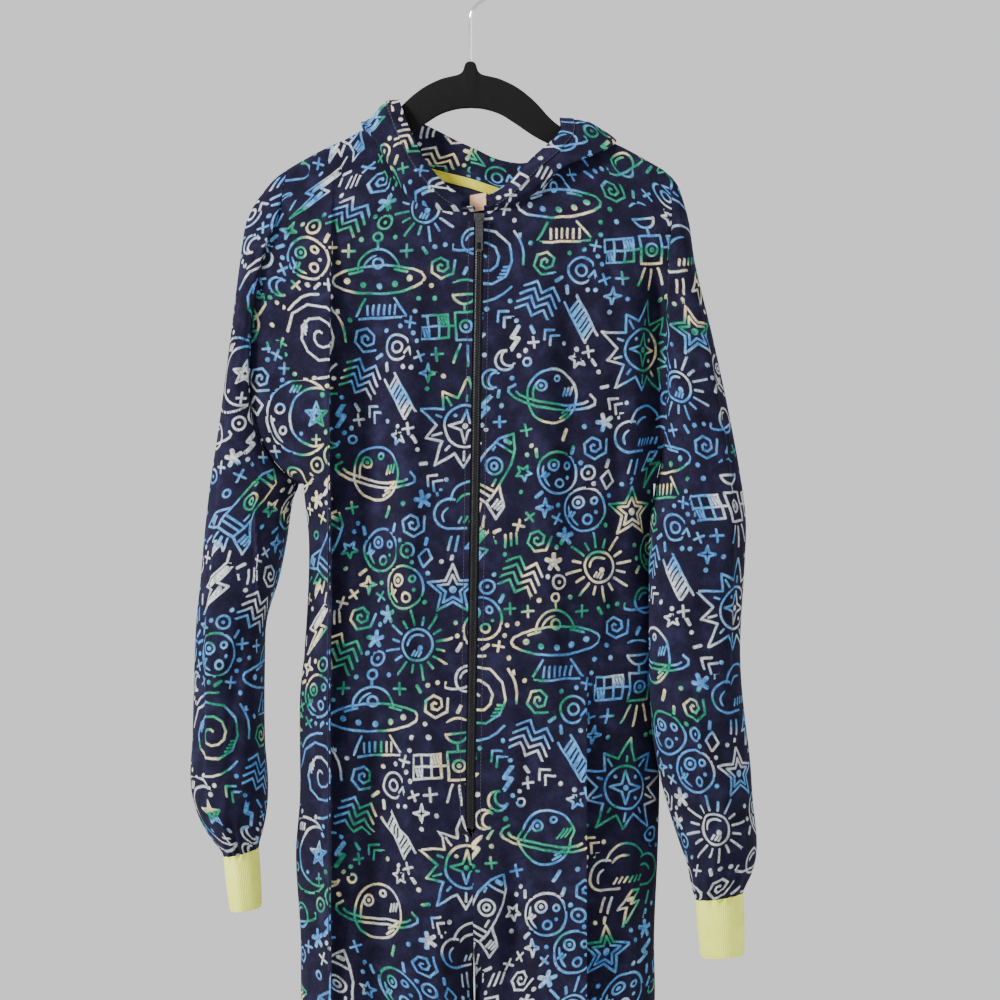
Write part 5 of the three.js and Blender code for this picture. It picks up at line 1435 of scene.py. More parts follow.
def rib_material():
    """Lime rib knit: fine wales round the cuff, from its own cloth coordinates, with painted shade in the grooves
    between the wales.
    """
    material, graph, shader = new_material("rib_lime", 0.85, sheen=0.08, sheen_tint=(1, 1, 0.8), specular=0.2)
    split = graph.node("ShaderNodeSeparateXYZ")
    graph.feed(split.inputs[0], graph.vector("SCALE", graph.uv("cloth"), scale=100.0))
    wale = graph.math("SINE", graph.math("MULTIPLY", split.outputs[0], 2 * math.pi / 1.9))
    wale = graph.map_range(wale, -1.0, 1.0, 0.0, 1.0, False)
    course = graph.math("SINE", graph.math("MULTIPLY", split.outputs[1], 2 * math.pi / 1.2))
    course = graph.map_range(course, -1.0, 1.0, 0.0, 1.0, False)
    where = graph.place()
    fuzz = graph.noise(where, 900, 2.0).outputs["Fac"]
    mottle = graph.noise(where, 50, 2.0).outputs["Fac"]
    color = graph.ramp(mottle, (0.3, (0.70, 0.76, 0.085)), (0.7, (0.80, 0.86, 0.14)))
    # Painted shade: the colour darkens in the grooves between the wales, where the bump is low.
    groove = graph.map_range(wale, 0.0, 0.55, 0.16, 0.0)
    color = graph.mix(groove, color, (0.58, 0.62, 0.07))
    color = graph.mix(graph.map_range(fuzz, 0.55, 0.75, 0, 0.2), color, (0.88, 0.88, 0.36))
    graph.feed(shader.inputs["Base Color"], color)
    height = graph.math("ADD", wale, graph.math("MULTIPLY", course, 0.22))
    height = graph.math("ADD", height, graph.math("MULTIPLY", fuzz, 0.5))
    bump(graph, shader, height, 0.0004, 0.7)
    return material


def tape_material():
    """Yellow twill tape: a fine slanted rib, with painted shade in the troughs between the ribs."""
    material, graph, shader = new_material("tape_yellow", 0.85, sheen=0.04, specular=0.15)
    split = graph.node("ShaderNodeSeparateXYZ")
    graph.feed(split.inputs[0], graph.vector("SCALE", graph.place(), scale=1000.0))
    slant = graph.math("ADD", split.outputs[0], graph.math("MULTIPLY", split.outputs[2], 0.55))
    twill = graph.math("SINE", graph.math("MULTIPLY", slant, 2 * math.pi / 0.95))
    twill = graph.map_range(twill, -1.0, 1.0, 0.0, 1.0, False)
    mottle = graph.noise(graph.place(), 80, 2.0).outputs["Fac"]
    color = graph.ramp(mottle, (0.3, (0.56, 0.50, 0.035)), (0.7, (0.68, 0.61, 0.065)))
    # Painted shade: the yellow darkens in the troughs of the twill, where the bump is low.
    color = graph.mix(graph.map_range(twill, 0.0, 0.6, 0.3, 0.0), color, (0.38, 0.34, 0.03))
    graph.feed(shader.inputs["Base Color"], color)
    bump(graph, shader, twill, 0.0003, 0.7)
    return material


def plain_weave_material(name, dark, light, pitch, roughness, depth, sheen=0.1):
    """A woven band seen close: crossing threads over a slightly uneven colour, with painted shade where the threads
    dip under one another.
    """
    material, graph, shader = new_material(name, roughness, sheen=sheen, specular=0.35)
    where = graph.place()
    split = graph.node("ShaderNodeSeparateXYZ")
    graph.feed(split.inputs[0], where)
    warp = graph.math("SINE", graph.math("MULTIPLY", split.outputs[0], 2 * math.pi / (pitch * MM)))
    weft = graph.math("SINE", graph.math("MULTIPLY", split.outputs[2], 2 * math.pi / (pitch * MM)))
    weave = graph.math("MULTIPLY", warp, weft)
    weave = graph.map_range(weave, -1.0, 1.0, 0.0, 1.0, False)
    mottle = graph.noise(where, 140, 2.0).outputs["Fac"]
    color = graph.ramp(mottle, (0.3, dark), (0.7, light))
    # Painted shade: the colour darkens where the weave is low, between the crossing threads.
    color = graph.mix(graph.map_range(weave, 0.0, 0.5, 0.3, 0.0), color, dark)
    graph.feed(shader.inputs["Base Color"], color)
    bump(graph, shader, weave, depth, 0.7)
    return material


def grained_material(name, dark, light, scale, roughness, depth, metallic=0.0, sheen=0.0, coat=0.0, strength=0.5):
    """Moulded plastic, flock or metal: grain in its colour, roughness and surface."""
    material, graph, shader = new_material(name, roughness, metallic=metallic, sheen=sheen, coat=coat)
    where = graph.place()
    fine = graph.noise(where, scale, 3.0, 0.6).outputs["Fac"]
    broad = graph.noise(where, scale * 0.08, 2.0).outputs["Fac"]
    color = graph.ramp(fine, (0.35, dark), (0.68, light))
    color = graph.mix(graph.map_range(broad, 0.4, 0.7, 0.0, 0.35), color, light)
    graph.feed(shader.inputs["Base Color"], color)
    wear = graph.map_range(broad, 0.3, 0.7, max(0.02, roughness - 0.06), min(1.0, roughness + 0.08), False)
    graph.feed(shader.inputs["Roughness"], wear)
    bump(graph, shader, fine, depth, strength)
    return material


def thread_material(name, dark, light):
    """Sewing thread: two plies that twist, as fine slanted bands; the dark bands are painted shade in the grooves
    between the plies.
    """
    material, graph, shader = new_material(name, 0.6, sheen=0.2, specular=0.4)
    split = graph.node("ShaderNodeSeparateXYZ")
    graph.feed(split.inputs[0], graph.place())
    slant = graph.math("ADD", split.outputs[2], graph.math("MULTIPLY", split.outputs[0], 0.8))
    twist = graph.math("SINE", graph.math("MULTIPLY", slant, 2 * math.pi / (0.8 * MM)))
    twist = graph.map_range(twist, -1.0, 1.0, 0.0, 1.0, False)
    # Painted shade: dark in the grooves between the plies, the thread's lighter tone on their crests.
    color = graph.mix(twist, dark, light)
    graph.feed(shader.inputs["Base Color"], color)
    bump(graph, shader, twist, 0.0001, 0.5)
    return material


# Meshes.
def finish_object(name, mesh, materials, slot, body=BODY_NAME, sharp=55):
    for material in materials:
        mesh.materials.append(material)
    mesh.polygons.foreach_set("use_smooth", [True] * len(mesh.polygons))
    mesh.set_sharp_from_angle(angle=math.radians(sharp))
    made = bpy.data.objects.new(name, mesh)
    bpy.context.scene.collection.objects.link(made)
    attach(made, body)
    return made


def mesh_of(name, points_mm, faces, indices=None, maps=None):
    """A mesh from points in millimetres and faces of four corners each."""
    mesh = bpy.data.meshes.new(name)
    count = len(faces)
    mesh.vertices.add(len(points_mm))
    mesh.vertices.foreach_set("co", (np.asarray(points_mm) * MM).ravel())
    mesh.loops.add(4 * count)
    mesh.loops.foreach_set("vertex_index", np.asarray(faces, np.int32).ravel())
    mesh.polygons.add(count)
    mesh.polygons.foreach_set("loop_start", np.arange(0, 4 * count, 4, dtype=np.int32))
    mesh.update(calc_edges=True)
    for key, corners in (maps or {}).items():
        layer = mesh.uv_layers.new(name=key)
        layer.data.foreach_set("uv", np.ascontiguousarray(corners, dtype=np.float32).ravel())
    if indices is not None:
        mesh.polygons.foreach_set("material_index", np.asarray(indices, np.int32))
    mesh.validate()
    return mesh


def wall_faces(rows, columns, ring):
    """Faces of a wall as corners (row, column, layer), with the kind of each: outer, inner, rim."""
    last = columns if ring else columns - 1
    r, c = np.meshgrid(np.arange(rows - 1), np.arange(last), indexing="ij")
    r, c = r.ravel(), c.ravel()
    zero, one = np.zeros_like(r), np.ones_like(r)

    def corners(*items):
        return np.stack([np.stack(item, axis=-1) for item in items], axis=1)

    outer = corners((r, c, zero), (r, c + 1, zero), (r + 1, c + 1, zero), (r + 1, c, zero))
    inner = corners((r, c, one), (r + 1, c, one), (r + 1, c + 1, one), (r, c + 1, one))
    k = np.arange(last)
    zero, one, foot = np.zeros_like(k), np.ones_like(k), np.full_like(k, rows - 1)
    rims = [
        corners((zero, k, zero), (zero, k, one), (zero, k + 1, one), (zero, k + 1, zero)),
        corners((foot, k, zero), (foot, k + 1, zero), (foot, k + 1, one), (foot, k, one)),
    ]
    if not ring:
        k = np.arange(rows - 1)
        zero, one, end = np.zeros_like(k), np.ones_like(k), np.full_like(k, columns - 1)
        rims.append(corners((k, zero, zero), (k + 1, zero, zero), (k + 1, zero, one), (k, zero, one)))
        rims.append(corners((k, end, zero), (k, end, one), (k + 1, end, one), (k + 1, end, zero)))
    kinds = np.concatenate([np.full(len(outer), 0), np.full(len(inner), 1)] + [np.full(len(x), 2) for x in rims])
    return np.concatenate([outer, inner, *rims]), kinds


def wall_object(name, outer, inner, ring, u, v, materials, slot, printed=(), offset=(0.0, 0.0), **options):
    """A closed wall between two grids; u and v are the flat cloth's coordinates at its points.

    The print goes on the layers named in printed: 0 is the outer one, 1 the inner one.
    """
    rows, columns = outer.shape[:2]
    corners, kinds = wall_faces(rows, columns, ring)
    r, c, layer = corners[..., 0], corners[..., 1], corners[..., 2]
    faces = layer * rows * columns + r * columns + (c % columns)
    points = np.concatenate([outer.reshape(-1, 3), inner.reshape(-1, 3)])
    corner_u, corner_v = u[r, c] + offset[0], v[r, c] + offset[1]
    indices = np.zeros(len(faces), int)
    maps = {"cloth": np.stack([corner_u, corner_v], axis=-1) / 100}
    if printed:
        local = np.zeros((len(faces), 4, 2))
        shown = np.isin(kinds, printed)
        number, where = print_cells(corner_u[shown], corner_v[shown])
        local[shown] = where / 100
        indices[shown] = number
        maps["print"] = local
    a, b, d = (points[faces[:, i]] for i in (0, 1, 2))
    e = points[faces[:, 3]]
    volume = np.einsum("ij,ij->i", a, np.cross(b, d)).sum() + np.einsum("ij,ij->i", a, np.cross(d, e)).sum()
    if volume < 0:
        faces = faces[:, ::-1]
        maps = {key: value[:, ::-1] for key, value in maps.items()}
    mesh = mesh_of(name, points, faces, indices, maps)
    return finish_object(name, mesh, materials, slot, **options)


def arc_lengths(points, axis):
    steps = np.linalg.norm(np.diff(points, axis=axis), axis=2)
    total = np.cumsum(steps, axis=axis)
    pad = [(0, 0), (0, 0)]
    pad[axis] = (1, 0)
    return np.pad(total, pad)


group = fleece_group()
FLEECE = [wrong_side_material()] + [
    printed_material(f"fleece_{name}", parts, group) for name, parts in DRAWN
]
RIB = rib_material()
TAPE = tape_material()
LABEL = plain_weave_material("label_peach", (0.74, 0.42, 0.24), (0.84, 0.58, 0.38), 0.5, 0.8, 0.0002, sheen=0.03)
ZIP_TAPE = plain_weave_material(
    "zip_tape_black", (0.003, 0.003, 0.004), (0.007, 0.007, 0.009), 0.8, 0.85, 0.0003, sheen=0.02
)
COIL = grained_material("zip_coil_black", (0.004, 0.004, 0.005), (0.010, 0.010, 0.012), 900, 0.30, 0.0001)
METAL = grained_material("metal_dark", (0.050, 0.050, 0.054), (0.11, 0.11, 0.115), 700, 0.32, 0.0002, metallic=1.0)
FLOCK = grained_material(
    "flock_black", (0.0012, 0.0011, 0.0012), (0.0065, 0.006, 0.0062), 1700, 0.95, 0.0006, sheen=0.02
)
FLOCK.node_tree.nodes["Principled BSDF"].inputs["Specular IOR Level"].default_value = 0.15
CHROME = grained_material("chrome_wire", (0.62, 0.63, 0.65), (0.74, 0.75, 0.77), 260, 0.10, 0.00003, metallic=1.0)
NAVY_THREAD = thread_material("thread_navy", (0.004, 0.0036, 0.009), (0.016, 0.015, 0.032))
LIME_THREAD = thread_material("thread_lime", (0.30, 0.27, 0.03), (0.62, 0.56, 0.09))

# The four body panels, each with the shift of its print on the cloth.
PANELS = (
    ("front_right", "left", "front", (40, 96)),
    ("front_left", "right", "front", (196, 30)),
    ("back_right", "left", "back", (118, 210)),
    ("back_left", "right", "back", (10, 150)),
)
panels = {}
for label, side, face, offset in PANELS:
    outer, inner, t, z = panel_grids(side, face)
    across = arc_lengths(outer, 1) * SIGN[side] * -OUT[face]
    panels[label] = (outer, t, z)
    piece = wall_object(f"{label}_cloth", outer, inner, False, across, z, FLEECE, "fleece_navy", (0,), offset)
    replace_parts(piece, label)
    wide = np.abs(across).max() * MM

def sleeve_reach(side, points, behind):
    """How far points of a sleeve are from its outer fold, measured level round the arm."""
    levels = np.linspace(SLEEVE_END_Z[side], -180.5, 110)
    shares = np.linspace(1, 0, 121)
    share, z = np.meshgrid(shares, levels)
    found = np.zeros(points.shape[:2])
    for face, chosen in (("front", ~behind), ("back", behind)):
        seam = np.abs(body_point(side, face, np.ones(z.shape), z, False)[..., 1])
        way = arc_lengths(sleeve_point(side, np.full(z.shape, face), share, z, seam), 1)
        at = points[:, chosen]
        level = np.clip(at[..., 2], levels[0], levels[-1])
        inner = np.where(level > UNDERARM_Z, read(ARMHOLE, side, level), read(SLEEVE[side], "inner", level))
        outer = read(SLEEVE[side], "outer", level)
        column = np.clip((outer - at[..., 0]) / (outer - inner), 0, 1) * (len(shares) - 1)
        row = (level - levels[0]) / (levels[-1] - levels[0]) * (len(levels) - 1)
        r, c = np.minimum(row.astype(int), len(levels) - 2), np.minimum(column.astype(int), len(shares) - 2)
        row, column = row - r, column - c
        found[:, chosen] = (way[r, c] * (1 - column) + way[r, c + 1] * column) * (1 - row) + (
            way[r + 1, c] * (1 - column) + way[r + 1, c + 1] * column
        ) * row
    return found


sleeves = {}
for label, side, offset in (("sleeve_right", "left", (150, 60)), ("sleeve_left", "right", (60, 250))):
    rings = np.roll(sleeve_rings(side), -SLEEVE_COLUMNS, axis=1)
    normals = grid_normals(rings, True, lambda n: True)
    middle = rings[-4].mean(axis=0)
    if np.dot(normals[-4, 0], rings[-4, 0] - middle) < 0:
        normals = -normals
    inner = rings - normals * WALL
    closed = np.concatenate([rings, rings[:, :1]], axis=1)
    half_way = np.where(np.arange(closed.shape[1]) < SLEEVE_COLUMNS, -1, 1)
    u = sleeve_reach(side, closed, half_way < 0) * half_way * -SIGN[side]
    v = np.concatenate([rings[..., 2], rings[:, :1, 2]], axis=1)
    piece = wall_object(f"{label}_cloth", rings, inner, True, u, v, FLEECE, "fleece_navy", (0,), offset)
    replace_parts(piece, label)
    sleeves[side] = rings

hoods = {}
for label, side, offset in (("hood_right", "left", (270, 40)), ("hood_left", "right", (90, 190))):
    outer, inner, places, length, to_edge = hood_grids(side)
    u = outer[..., 0] + 0.6 * SIGN[side] * outer[..., 1]
    v = outer[..., 2] + 0.7 * outer[..., 1]
    piece = wall_object(f"{label}_cloth", outer, inner, False, u, v, FLEECE, "fleece_navy", (0, 1), offset)
    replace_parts(piece, label)
    hoods[side] = (outer, to_edge)


# Rib cuffs, each a tube that is a little waisted, with a turned end.
RIB_WALL = 2.0


CUFF_WAVES = 5
CUFF_GATHERED = 0.12


def smooth_ring(ring):
    """The ring without the fine gathers: its first few waves alone."""
    waves = np.fft.rfft(ring, axis=0)
    waves[CUFF_WAVES + 1 :] = 0
    return np.fft.irfft(waves, len(ring), axis=0)


def cuff_object(label, top_ring, length, shift, slant, taper):
    middle = top_ring.mean(axis=0)
    gathered = top_ring - middle
    gathered[:, 2] = 0
    smooth = smooth_ring(gathered)
    steps = np.linspace(0, 1, 22)
    rows, inside = [], []
    for share in steps:
        away = gathered + (smooth - gathered) * ease(0, CUFF_GATHERED, share)
        reach = np.linalg.norm(away, axis=1, keepdims=True)
        width = 1 + (taper - 1) * share + 0.03 * math.sin(math.pi * share)
        round_end = 0.5 * max(0.0, (share - 0.94) / 0.06) ** 2
        flat = slant * (1 - 0.5 * share)
        for grow, rows_to in ((-round_end, rows), (-RIB_WALL, inside)):
            scaled = away * (reach * width + grow) / reach
            level = middle[2] - SEAM_GAP - length * share + flat * scaled[:, 0]
            rows_to.append(np.stack([middle[0] + shift * share + scaled[:, 0], middle[1] + scaled[:, 1], level], -1))
    outer, inner = np.array(rows), np.array(inside)
    closed = np.concatenate([outer, outer[:, :1]], axis=1)
    around = arc_lengths(closed, 1)
    around = around * (around[:1, -1:] / around[:, -1:])
    v = np.concatenate([outer[..., 2], outer[:, :1, 2]], axis=1)
    piece = wall_object(f"{label}_rib", outer, inner, True, around, v, [RIB], "rib_lime")
    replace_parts(piece, label)


def leg_end_ring(side):
    t = np.linspace(0, 1, 45)
    front = body_point(side, "front", t, np.full(45, LEG_END_Z), False)
    back = body_point(side, "back", t[::-1], np.full(45, LEG_END_Z), False)
    return np.concatenate([front[:-1], back[:-1]])


for side, label in (("left", "cuff_wrist_right"), ("right", "cuff_wrist_left")):
    size = WRIST[side]
    cuff_object(label, sleeves[side][-1], size["length"], size["shift"], size["slant"], size["taper"])
for side, label in (("left", "cuff_ankle_right"), ("right", "cuff_ankle_left")):
    cuff_object(label, leg_end_ring(side), ANKLE_CUFF_LENGTH, 0, 0, 0.95)


def zip_centre(z):
    """The middle of the zip's front face at a height."""
    z = np.asarray(z, float)
    zero = np.zeros(z.shape)
    left = body_point("left", "front", zero, z, False)[..., 1]
    right = body_point("right", "front", zero, z, False)[..., 1]
    return read(BODY, "centre", z), (left + right) / 2


def faces_object(name, points, faces, materials, slot, body=BODY_NAME, sharp=40, indices=None):
    """A piece from points in millimetres and faces of any number of corners."""
    mesh = bpy.data.meshes.new(name)
    mesh.from_pydata([tuple(p) for p in np.asarray(points) * MM], [], [tuple(int(i) for i in f) for f in faces])
    if indices is not None:
        mesh.polygons.foreach_set("material_index", indices)
    return finish_object(name, mesh, materials, slot, body, sharp)


def beads(name, centres, alongs, ups, sizes, materials, slot, sides=6):
    """Many small rounded pieces in one mesh: each has a middle, two directions and half sizes."""
    rings = [(-1.0, 0.35), (-0.72, 0.85), (0.0, 1.0), (0.72, 0.85), (1.0, 0.35)]
    angles = [2 * math.pi * k / sides for k in range(sides)]
    points, faces = [], []
    for centre, along, up in zip(centres, alongs, ups):
        along = unit(along)
        side = unit(np.cross(along, up))
        up = np.cross(side, along)
        base = len(points)
        for place, reach in rings:
            for angle in angles:
                across = side * sizes[1] * reach * math.cos(angle) + up * sizes[2] * reach * math.sin(angle)
                points.append(centre + along * sizes[0] * place + across)
        for r in range(len(rings) - 1):
            for k in range(sides):
                a, b = base + r * sides + k, base + r * sides + (k + 1) % sides
                faces.append((a, b, b + sides, a + sides))
        faces.append(tuple(base + k for k in reversed(range(sides))))
        faces.append(tuple(base + (len(rings) - 1) * sides + k for k in range(sides)))
    return faces_object(name, points, faces, materials, slot)


# The zip: a woven band with the two rows of its coil on it.
COIL_PITCH = 1.35
levels = np.linspace(ZIP_TOP_Z - 0.3, ZIP_END_Z + 0.4, 170)
centre, face_y = zip_centre(levels)
across = np.array([-3.95, -2.9, -1.9, -0.6, 0.6, 1.9, 2.9, 3.95])
inset = np.array([1.25, 0.95, 0.85, 0.9, 0.9, 0.85, 0.95, 1.25])
band = np.stack(
    [centre[:, None] + across, face_y[:, None] + inset, np.repeat(levels[:, None], len(across), axis=1)], axis=-1
)
piece = wall_object(
    "zip_band", band, band + np.array([0, 1.0, 0]), False, band[..., 0], band[..., 2], [ZIP_TAPE], "zip_black"
)
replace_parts(piece, "zip_chain")
SLIDER_FOOT_Z = -231.6
coil_z = np.arange(SLIDER_FOOT_Z, ZIP_END_Z + 1.0, -COIL_PITCH)
centre, face_y = zip_centre(coil_z)
centres, alongs, ups = [], [], []
for side in (-1, 1):
    drop = 0 if side < 0 else COIL_PITCH / 2
    for x, y, z in zip(centre, face_y, coil_z - drop):
        centres.append(np.array([x + side * 1.15, y + 0.15, z]))
        alongs.append(np.array([side * 1.0, 0.25, 0.22]))
        ups.append(np.array([0.0, -1.0, 0.0]))
beads("zip_coils", centres, alongs, ups, (1.55, 0.52, 0.72), [COIL], "zip_black")

# The metal and woven parts keep their solids' form and take their own materials.
for node, material in (
    ("zip_slider", METAL),
    ("zip_tab", METAL),
    ("neck_tape", TAPE),
    ("label", LABEL),
):
    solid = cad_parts[node].data
    solid.materials.clear()
    solid.materials.append(material)


# The hanger's flocked body: a flat bar with soft edges, from a dome at the hook to its two ends.
HANGER_UPPER = table(
    "x z",
    (0, -87.9), (2.4, -88.2), (4.2, -89.6), (5.2, -91.8), (5.8, -94.2), (6.9, -96.6), (9, -98.5), (12, -99.7),
    (18, -101), (26, -103.2), (39, -109.5), (50, -117.5), (59, -126), (66, -134), (74, -141.5), (93, -153.5),
    (119, -165.5), (145, -179), (158, -187), (163, -191.5), (165, -195.5),
)
HANGER_LOWER = table(
    "x z",
    (0, -127.9), (12, -129), (26, -133.5), (39, -141.5), (50, -149), (59, -154.5), (74, -161.8), (93, -170.5),
    (119, -181.5), (145, -194), (158, -200.5), (163, -200.8), (165, -197.5),
)
HANGER_HALF_THICK = 3.0
HANGER_ROUND = 1.6
HANGER_STATIONS = (
    [0, 0.8, 1.6, 2.4, 3.2, 3.8, 4.3, 4.7, 5.0, 5.2, 5.4, 5.6, 5.9, 6.3, 6.9, 7.8, 9, 10.5, 12, 14.5]
    + list(range(17, 66, 2)) + list(range(66, 158, 3)) + [158.5, 160, 161.5, 162.8, 163.8, 164.5, 165]
)
stations = np.array([-x for x in HANGER_STATIONS[:0:-1]] + list(HANGER_STATIONS), float)
points, faces = [], []
for x in stations:
    high, low = float(read(HANGER_UPPER, "z", abs(x))), float(read(HANGER_LOWER, "z", abs(x)))
    soft = min(HANGER_ROUND, (high - low) * 0.45)
    for k in range(24):
        angle = 2 * math.pi * (k + 0.5) / 24
        corner_y = math.copysign(HANGER_HALF_THICK - soft, math.cos(angle))
        corner_z = (high - soft) if math.sin(angle) > 0 else (low + soft)
        points.append((x, corner_y + soft * math.cos(angle), corner_z + soft * math.sin(angle)))
for i in range(len(stations) - 1):
    for k in range(24):
        after = (k + 1) % 24
        faces.append((i * 24 + k, (i + 1) * 24 + k, (i + 1) * 24 + after, i * 24 + after))
faces += [tuple(range(24)), tuple(reversed(range(len(points) - 24, len(points))))]
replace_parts(faces_object("hanger_flocked", points, faces, [FLOCK], "flock_black", sharp=70), "hanger_body")


# The hook's wire, drawn round: stem, throat, bend over the rail, and a rounded tip.
WIRE_RADIUS = 1.5
BEND_RADIUS = 20.0
THROAT_RADIUS = 17.0
TAIL_DEGREES = 200.0
STEM_FOOT_Z = -87.6


def hook_path(count):
    both = BEND_RADIUS + THROAT_RADIUS
    turn = math.acos(THROAT_RADIUS / both)
    middle_z = -(BEND_RADIUS - WIRE_RADIUS)
    throat_z = middle_z - both * math.sin(turn)
    stem = throat_z - STEM_FOOT_Z
    throat = THROAT_RADIUS * turn
    total = stem + throat + BEND_RADIUS * (math.radians(TAIL_DEGREES) + turn)
    points = []
    for left in np.linspace(0, total - WIRE_RADIUS, count):
        if left <= stem:
            points.append((0, 0, STEM_FOOT_Z + left))
        elif left <= stem + throat:
            angle = (left - stem) / THROAT_RADIUS
            points.append((THROAT_RADIUS * (1 - math.cos(angle)), 0, throat_z + THROAT_RADIUS * math.sin(angle)))
        else:
            angle = (left - stem - throat) / BEND_RADIUS - turn
            shift = THROAT_RADIUS - both * math.cos(turn)
            points.append((shift + BEND_RADIUS * math.cos(angle), 0, middle_z + BEND_RADIUS * math.sin(angle)))
    return np.array(points)


def wire_object(name, path, radii, material, slot, sides=18):
    """A round wire along a path in the plane of the hanger."""
    along = unit(np.gradient(path, axis=0))
    across = unit(np.cross(along, np.array([0.0, 1.0, 0.0])))
    turn = 2 * math.pi * np.arange(sides) / sides
    points = [
        p + r * (a * math.cos(angle) + np.array([0.0, math.sin(angle), 0.0]))
        for p, a, r in zip(path, across, radii)
        for angle in turn
    ]
    faces = [
        (i * sides + k, i * sides + (k + 1) % sides, (i + 1) * sides + (k + 1) % sides, (i + 1) * sides + k)
        for i in range(len(path) - 1)
        for k in range(sides)
    ]
    faces.append(tuple(reversed(range(sides))))
    faces.append(tuple((len(path) - 1) * sides + k for k in range(sides)))
    return faces_object(name, points, faces, [material], slot, sharp=60)


path = hook_path(150)
tip = [(0.35, 0.93), (0.8, 0.72), (1.15, 0.42), (1.32, 0.15)]
ahead = unit(path[-1] - path[-2])
radii = [WIRE_RADIUS] * len(path) + [WIRE_RADIUS * share for _, share in tip]
path = np.concatenate([path, [path[-1] + ahead * reach for reach, _ in tip]])
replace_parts(wire_object("hanger_hook_wire", path, radii, CHROME, "chrome"), "hanger_hook")


# Sewing. Each row is a line of stitches that sink a little at their ends.
def on_front(side, x, z):
    """Points and directions of the front panel's face at widths and heights."""
    shares = np.linspace(0, 0.5, 160)
    points, normals = [], []
    for wide, level in zip(x, z):
        row = body_point(side, "front", shares, np.full(shares.shape, level))
        order = np.argsort(row[:, 0])
        y = float(np.interp(wide, row[order, 0], row[order, 1]))
        near = [float(np.interp(wide + step, row[order, 0], row[order, 1])) for step in (-1.5, 1.5)]
        points.append((wide, y, level))
        normals.append((near[1] - near[0], -3.0, 0.0))
    return np.array(points), unit(np.array(normals))


def stitch_row(points, normals, pitch, length):
    """Middles, directions and ups of stitches laid along a line on the cloth."""
    steps = np.linalg.norm(np.diff(points, axis=0), axis=1)
    way = np.concatenate([[0], np.cumsum(steps)])
    centres, alongs, ups = [], [], []
    for start in np.arange(pitch * 0.3, way[-1] - length, pitch):
        ends = [np.array([np.interp(s, way, points[:, k]) for k in range(3)]) for s in (start, start + length)]
        normal = unit(np.array([np.interp(start + length / 2, way, normals[:, k]) for k in range(3)]))
        centres.append((ends[0] + ends[1]) / 2 + normal * 0.05)
        alongs.append(ends[1] - ends[0])
        ups.append(normal)
    return centres, alongs, ups


def sew(name, rows, material, slot, pitch=3.2, length=2.5, thick=0.32):
    centres, alongs, ups = [], [], []
    for points, normals in rows:
        more = stitch_row(points, normals, pitch, length)
        centres, alongs, ups = centres + more[0], alongs + more[1], ups + more[2]
    return beads(name, centres, alongs, ups, (length / 2, thick, thick * 0.75), [material], slot)


ZIP_STITCH_X = 8.6
levels = np.arange(ZIP_TOP_Z - 6, ZIP_END_Z - 5, -2.2)
rows = []
for side in ("left", "right"):
    wide = read(BODY, "centre", levels) + SIGN[side] * ZIP_STITCH_X
    rows.append(on_front(side, wide, levels))
foot_z = levels[-1]
foot_x = np.linspace(-ZIP_STITCH_X, ZIP_STITCH_X, 9) + float(read(BODY, "centre", foot_z))
for side in ("left", "right"):
    part = foot_x[:5] if side == "left" else foot_x[5:]
    rows.append(on_front(side, part, np.full(part.shape, foot_z)))
sew("zip_topstitch", rows, NAVY_THREAD, "fleece_navy")

rows = []
for side in ("left", "right"):
    outer, to_edge = hoods[side]
    band_line, band_up = [], []
    normals = grid_normals(outer, False, lambda n: True)
    if normals[1, 1, 1] > 0:
        normals = -normals
    for column in range(2, outer.shape[1] - 1):
        reach = to_edge[:, column]
        if reach[0] < HOOD_BAND + 4:
            continue
        order = np.argsort(reach)
        band_line.append([float(np.interp(HOOD_BAND - 1.6, reach[order], outer[order, column, k])) for k in range(3)])
        band_up.append([float(np.interp(HOOD_BAND - 1.6, reach[order], normals[order, column, k])) for k in range(3)])
    rows.append((np.array(band_line), np.array(band_up)))
sew("hood_hem_stitch", rows, NAVY_THREAD, "fleece_navy")

# Two rows on the neck tape, a little inside its edges.
tape_points = np.array([v.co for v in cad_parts["neck_tape"].data.vertices]) / MM
columns = np.unique(tape_points[:, 0].round(1))
tops, feet = [], []
for x in columns:
    column = tape_points[np.abs(tape_points[:, 0] - x) < 0.11]
    for found, level in ((tops, column[:, 2].max()), (feet, column[:, 2].min())):
        row = column[np.abs(column[:, 2] - level) < 0.2]
        found.append(row[row[:, 1].argmin()])
tops, feet = np.array(tops), np.array(feet)
forward = np.tile([0.0, -1.0, 0.0], (len(columns), 1))
rows = [(tops + (feet - tops) * share + forward * 0.12, forward) for share in (0.16, 0.84)]
sew("neck_tape_stitch", rows, LIME_THREAD, "tape_yellow", pitch=2.9, length=2.2, thick=0.28)

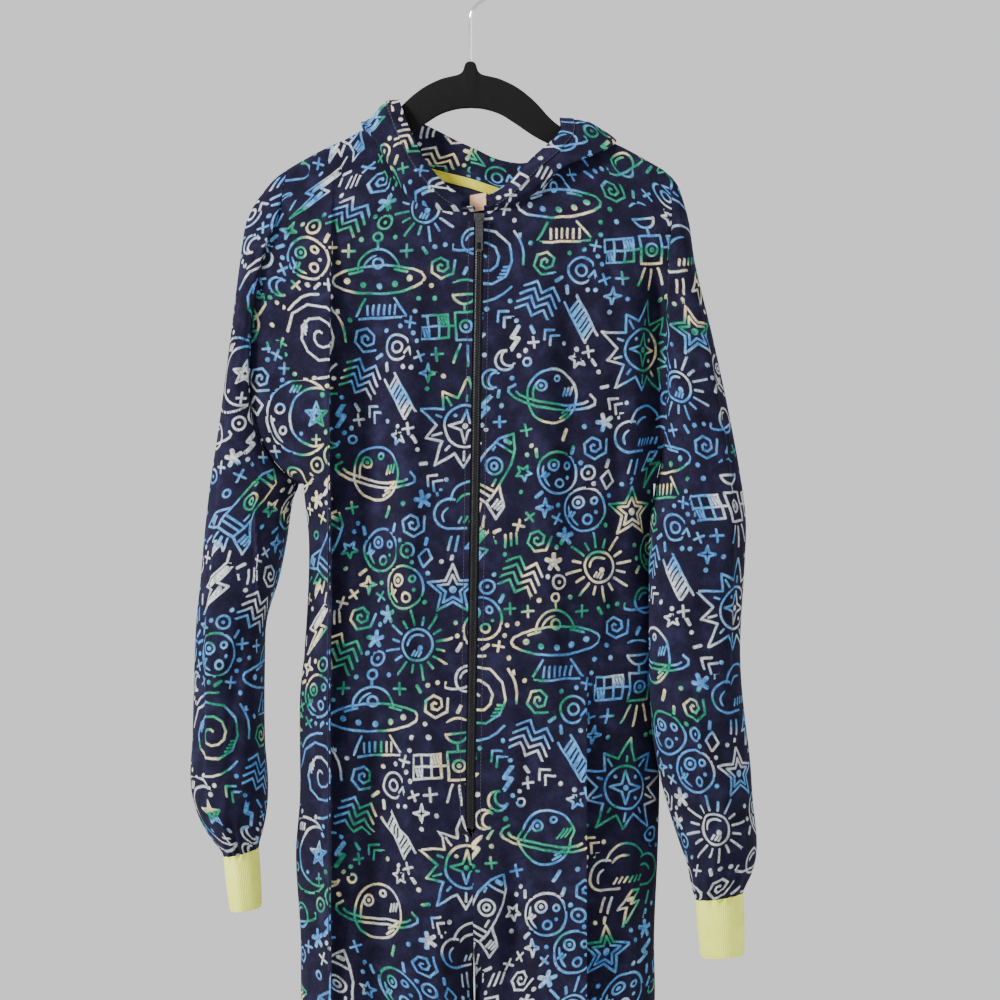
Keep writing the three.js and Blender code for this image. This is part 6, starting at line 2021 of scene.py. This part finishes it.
# The camera stands where the photograph's did, and the light is soft and comes from the upper left.
SPAN = 0.85
FRAME_X = 0.0255
FRAME_Z = -0.466
FRONT_FACE_Y = -0.035
LENS = 100.0
camera_data = bpy.data.cameras.new("camera")
camera_data.lens = LENS
camera_data.sensor_width = 36.0
camera = bpy.data.objects.new("camera", camera_data)
camera.location = (FRAME_X, FRONT_FACE_Y - SPAN * LENS / 36.0, FRAME_Z)
camera.rotation_euler = (math.pi / 2, 0, 0)
bpy.context.scene.collection.objects.link(camera)
bpy.context.scene.camera = camera


def area_light(name, place, target, size, power, color=(1, 1, 1)):
    data = bpy.data.lights.new(name, "AREA")
    data.size = size
    data.energy = power
    data.color = color
    light = bpy.data.objects.new(name, data)
    light.location = place
    toward = np.array(target) - np.array(place)
    flat = math.hypot(toward[0], toward[1])
    light.rotation_euler = (math.pi / 2 + math.atan2(toward[2], flat), 0, math.atan2(-toward[0], toward[1]))
    bpy.context.scene.collection.objects.link(light)


area_light("key", (-1.75, -1.15, 0.75), (0, 0, -0.45), 0.5, 135, (1.0, 0.985, 0.96))
area_light("fill", (1.7, -1.5, 0.1), (0.1, 0, -0.5), 1.2, 16, (0.95, 0.97, 1.0))
area_light("back", (0.6, 2.0, 0.6), (0, 0, -0.6), 1.6, 20)
world = bpy.data.worlds.new("studio")
world.use_nodes = True
world.node_tree.nodes["Background"].inputs["Color"].default_value = (1.0, 1.0, 1.0, 1)
world.node_tree.nodes["Background"].inputs["Strength"].default_value = 0.95
bpy.context.scene.world = world

# A pale floor below the feet.
floor_points = np.array([[-2200, -2200, -1640], [2200, -2200, -1640], [2200, 2200, -1640], [-2200, 2200, -1640]])
floor_mesh = bpy.data.meshes.new("floor")
floor_mesh.from_pydata([tuple(p) for p in floor_points * MM], [], [(0, 1, 2, 3)])
FLOOR, floor_graph, floor_shader = new_material("pale_floor", 0.8)
floor_tone = floor_graph.noise(floor_graph.place(), 3.0, 2.0).outputs["Fac"]
floor_graph.feed(
    floor_shader.inputs["Base Color"], floor_graph.ramp(floor_tone, (0.3, (0.80, 0.80, 0.80)), (0.7, (0.84, 0.84, 0.84)))
)
floor_mesh.materials.append(FLOOR)
floor = bpy.data.objects.new("floor", floor_mesh)
bpy.context.scene.collection.objects.link(floor)
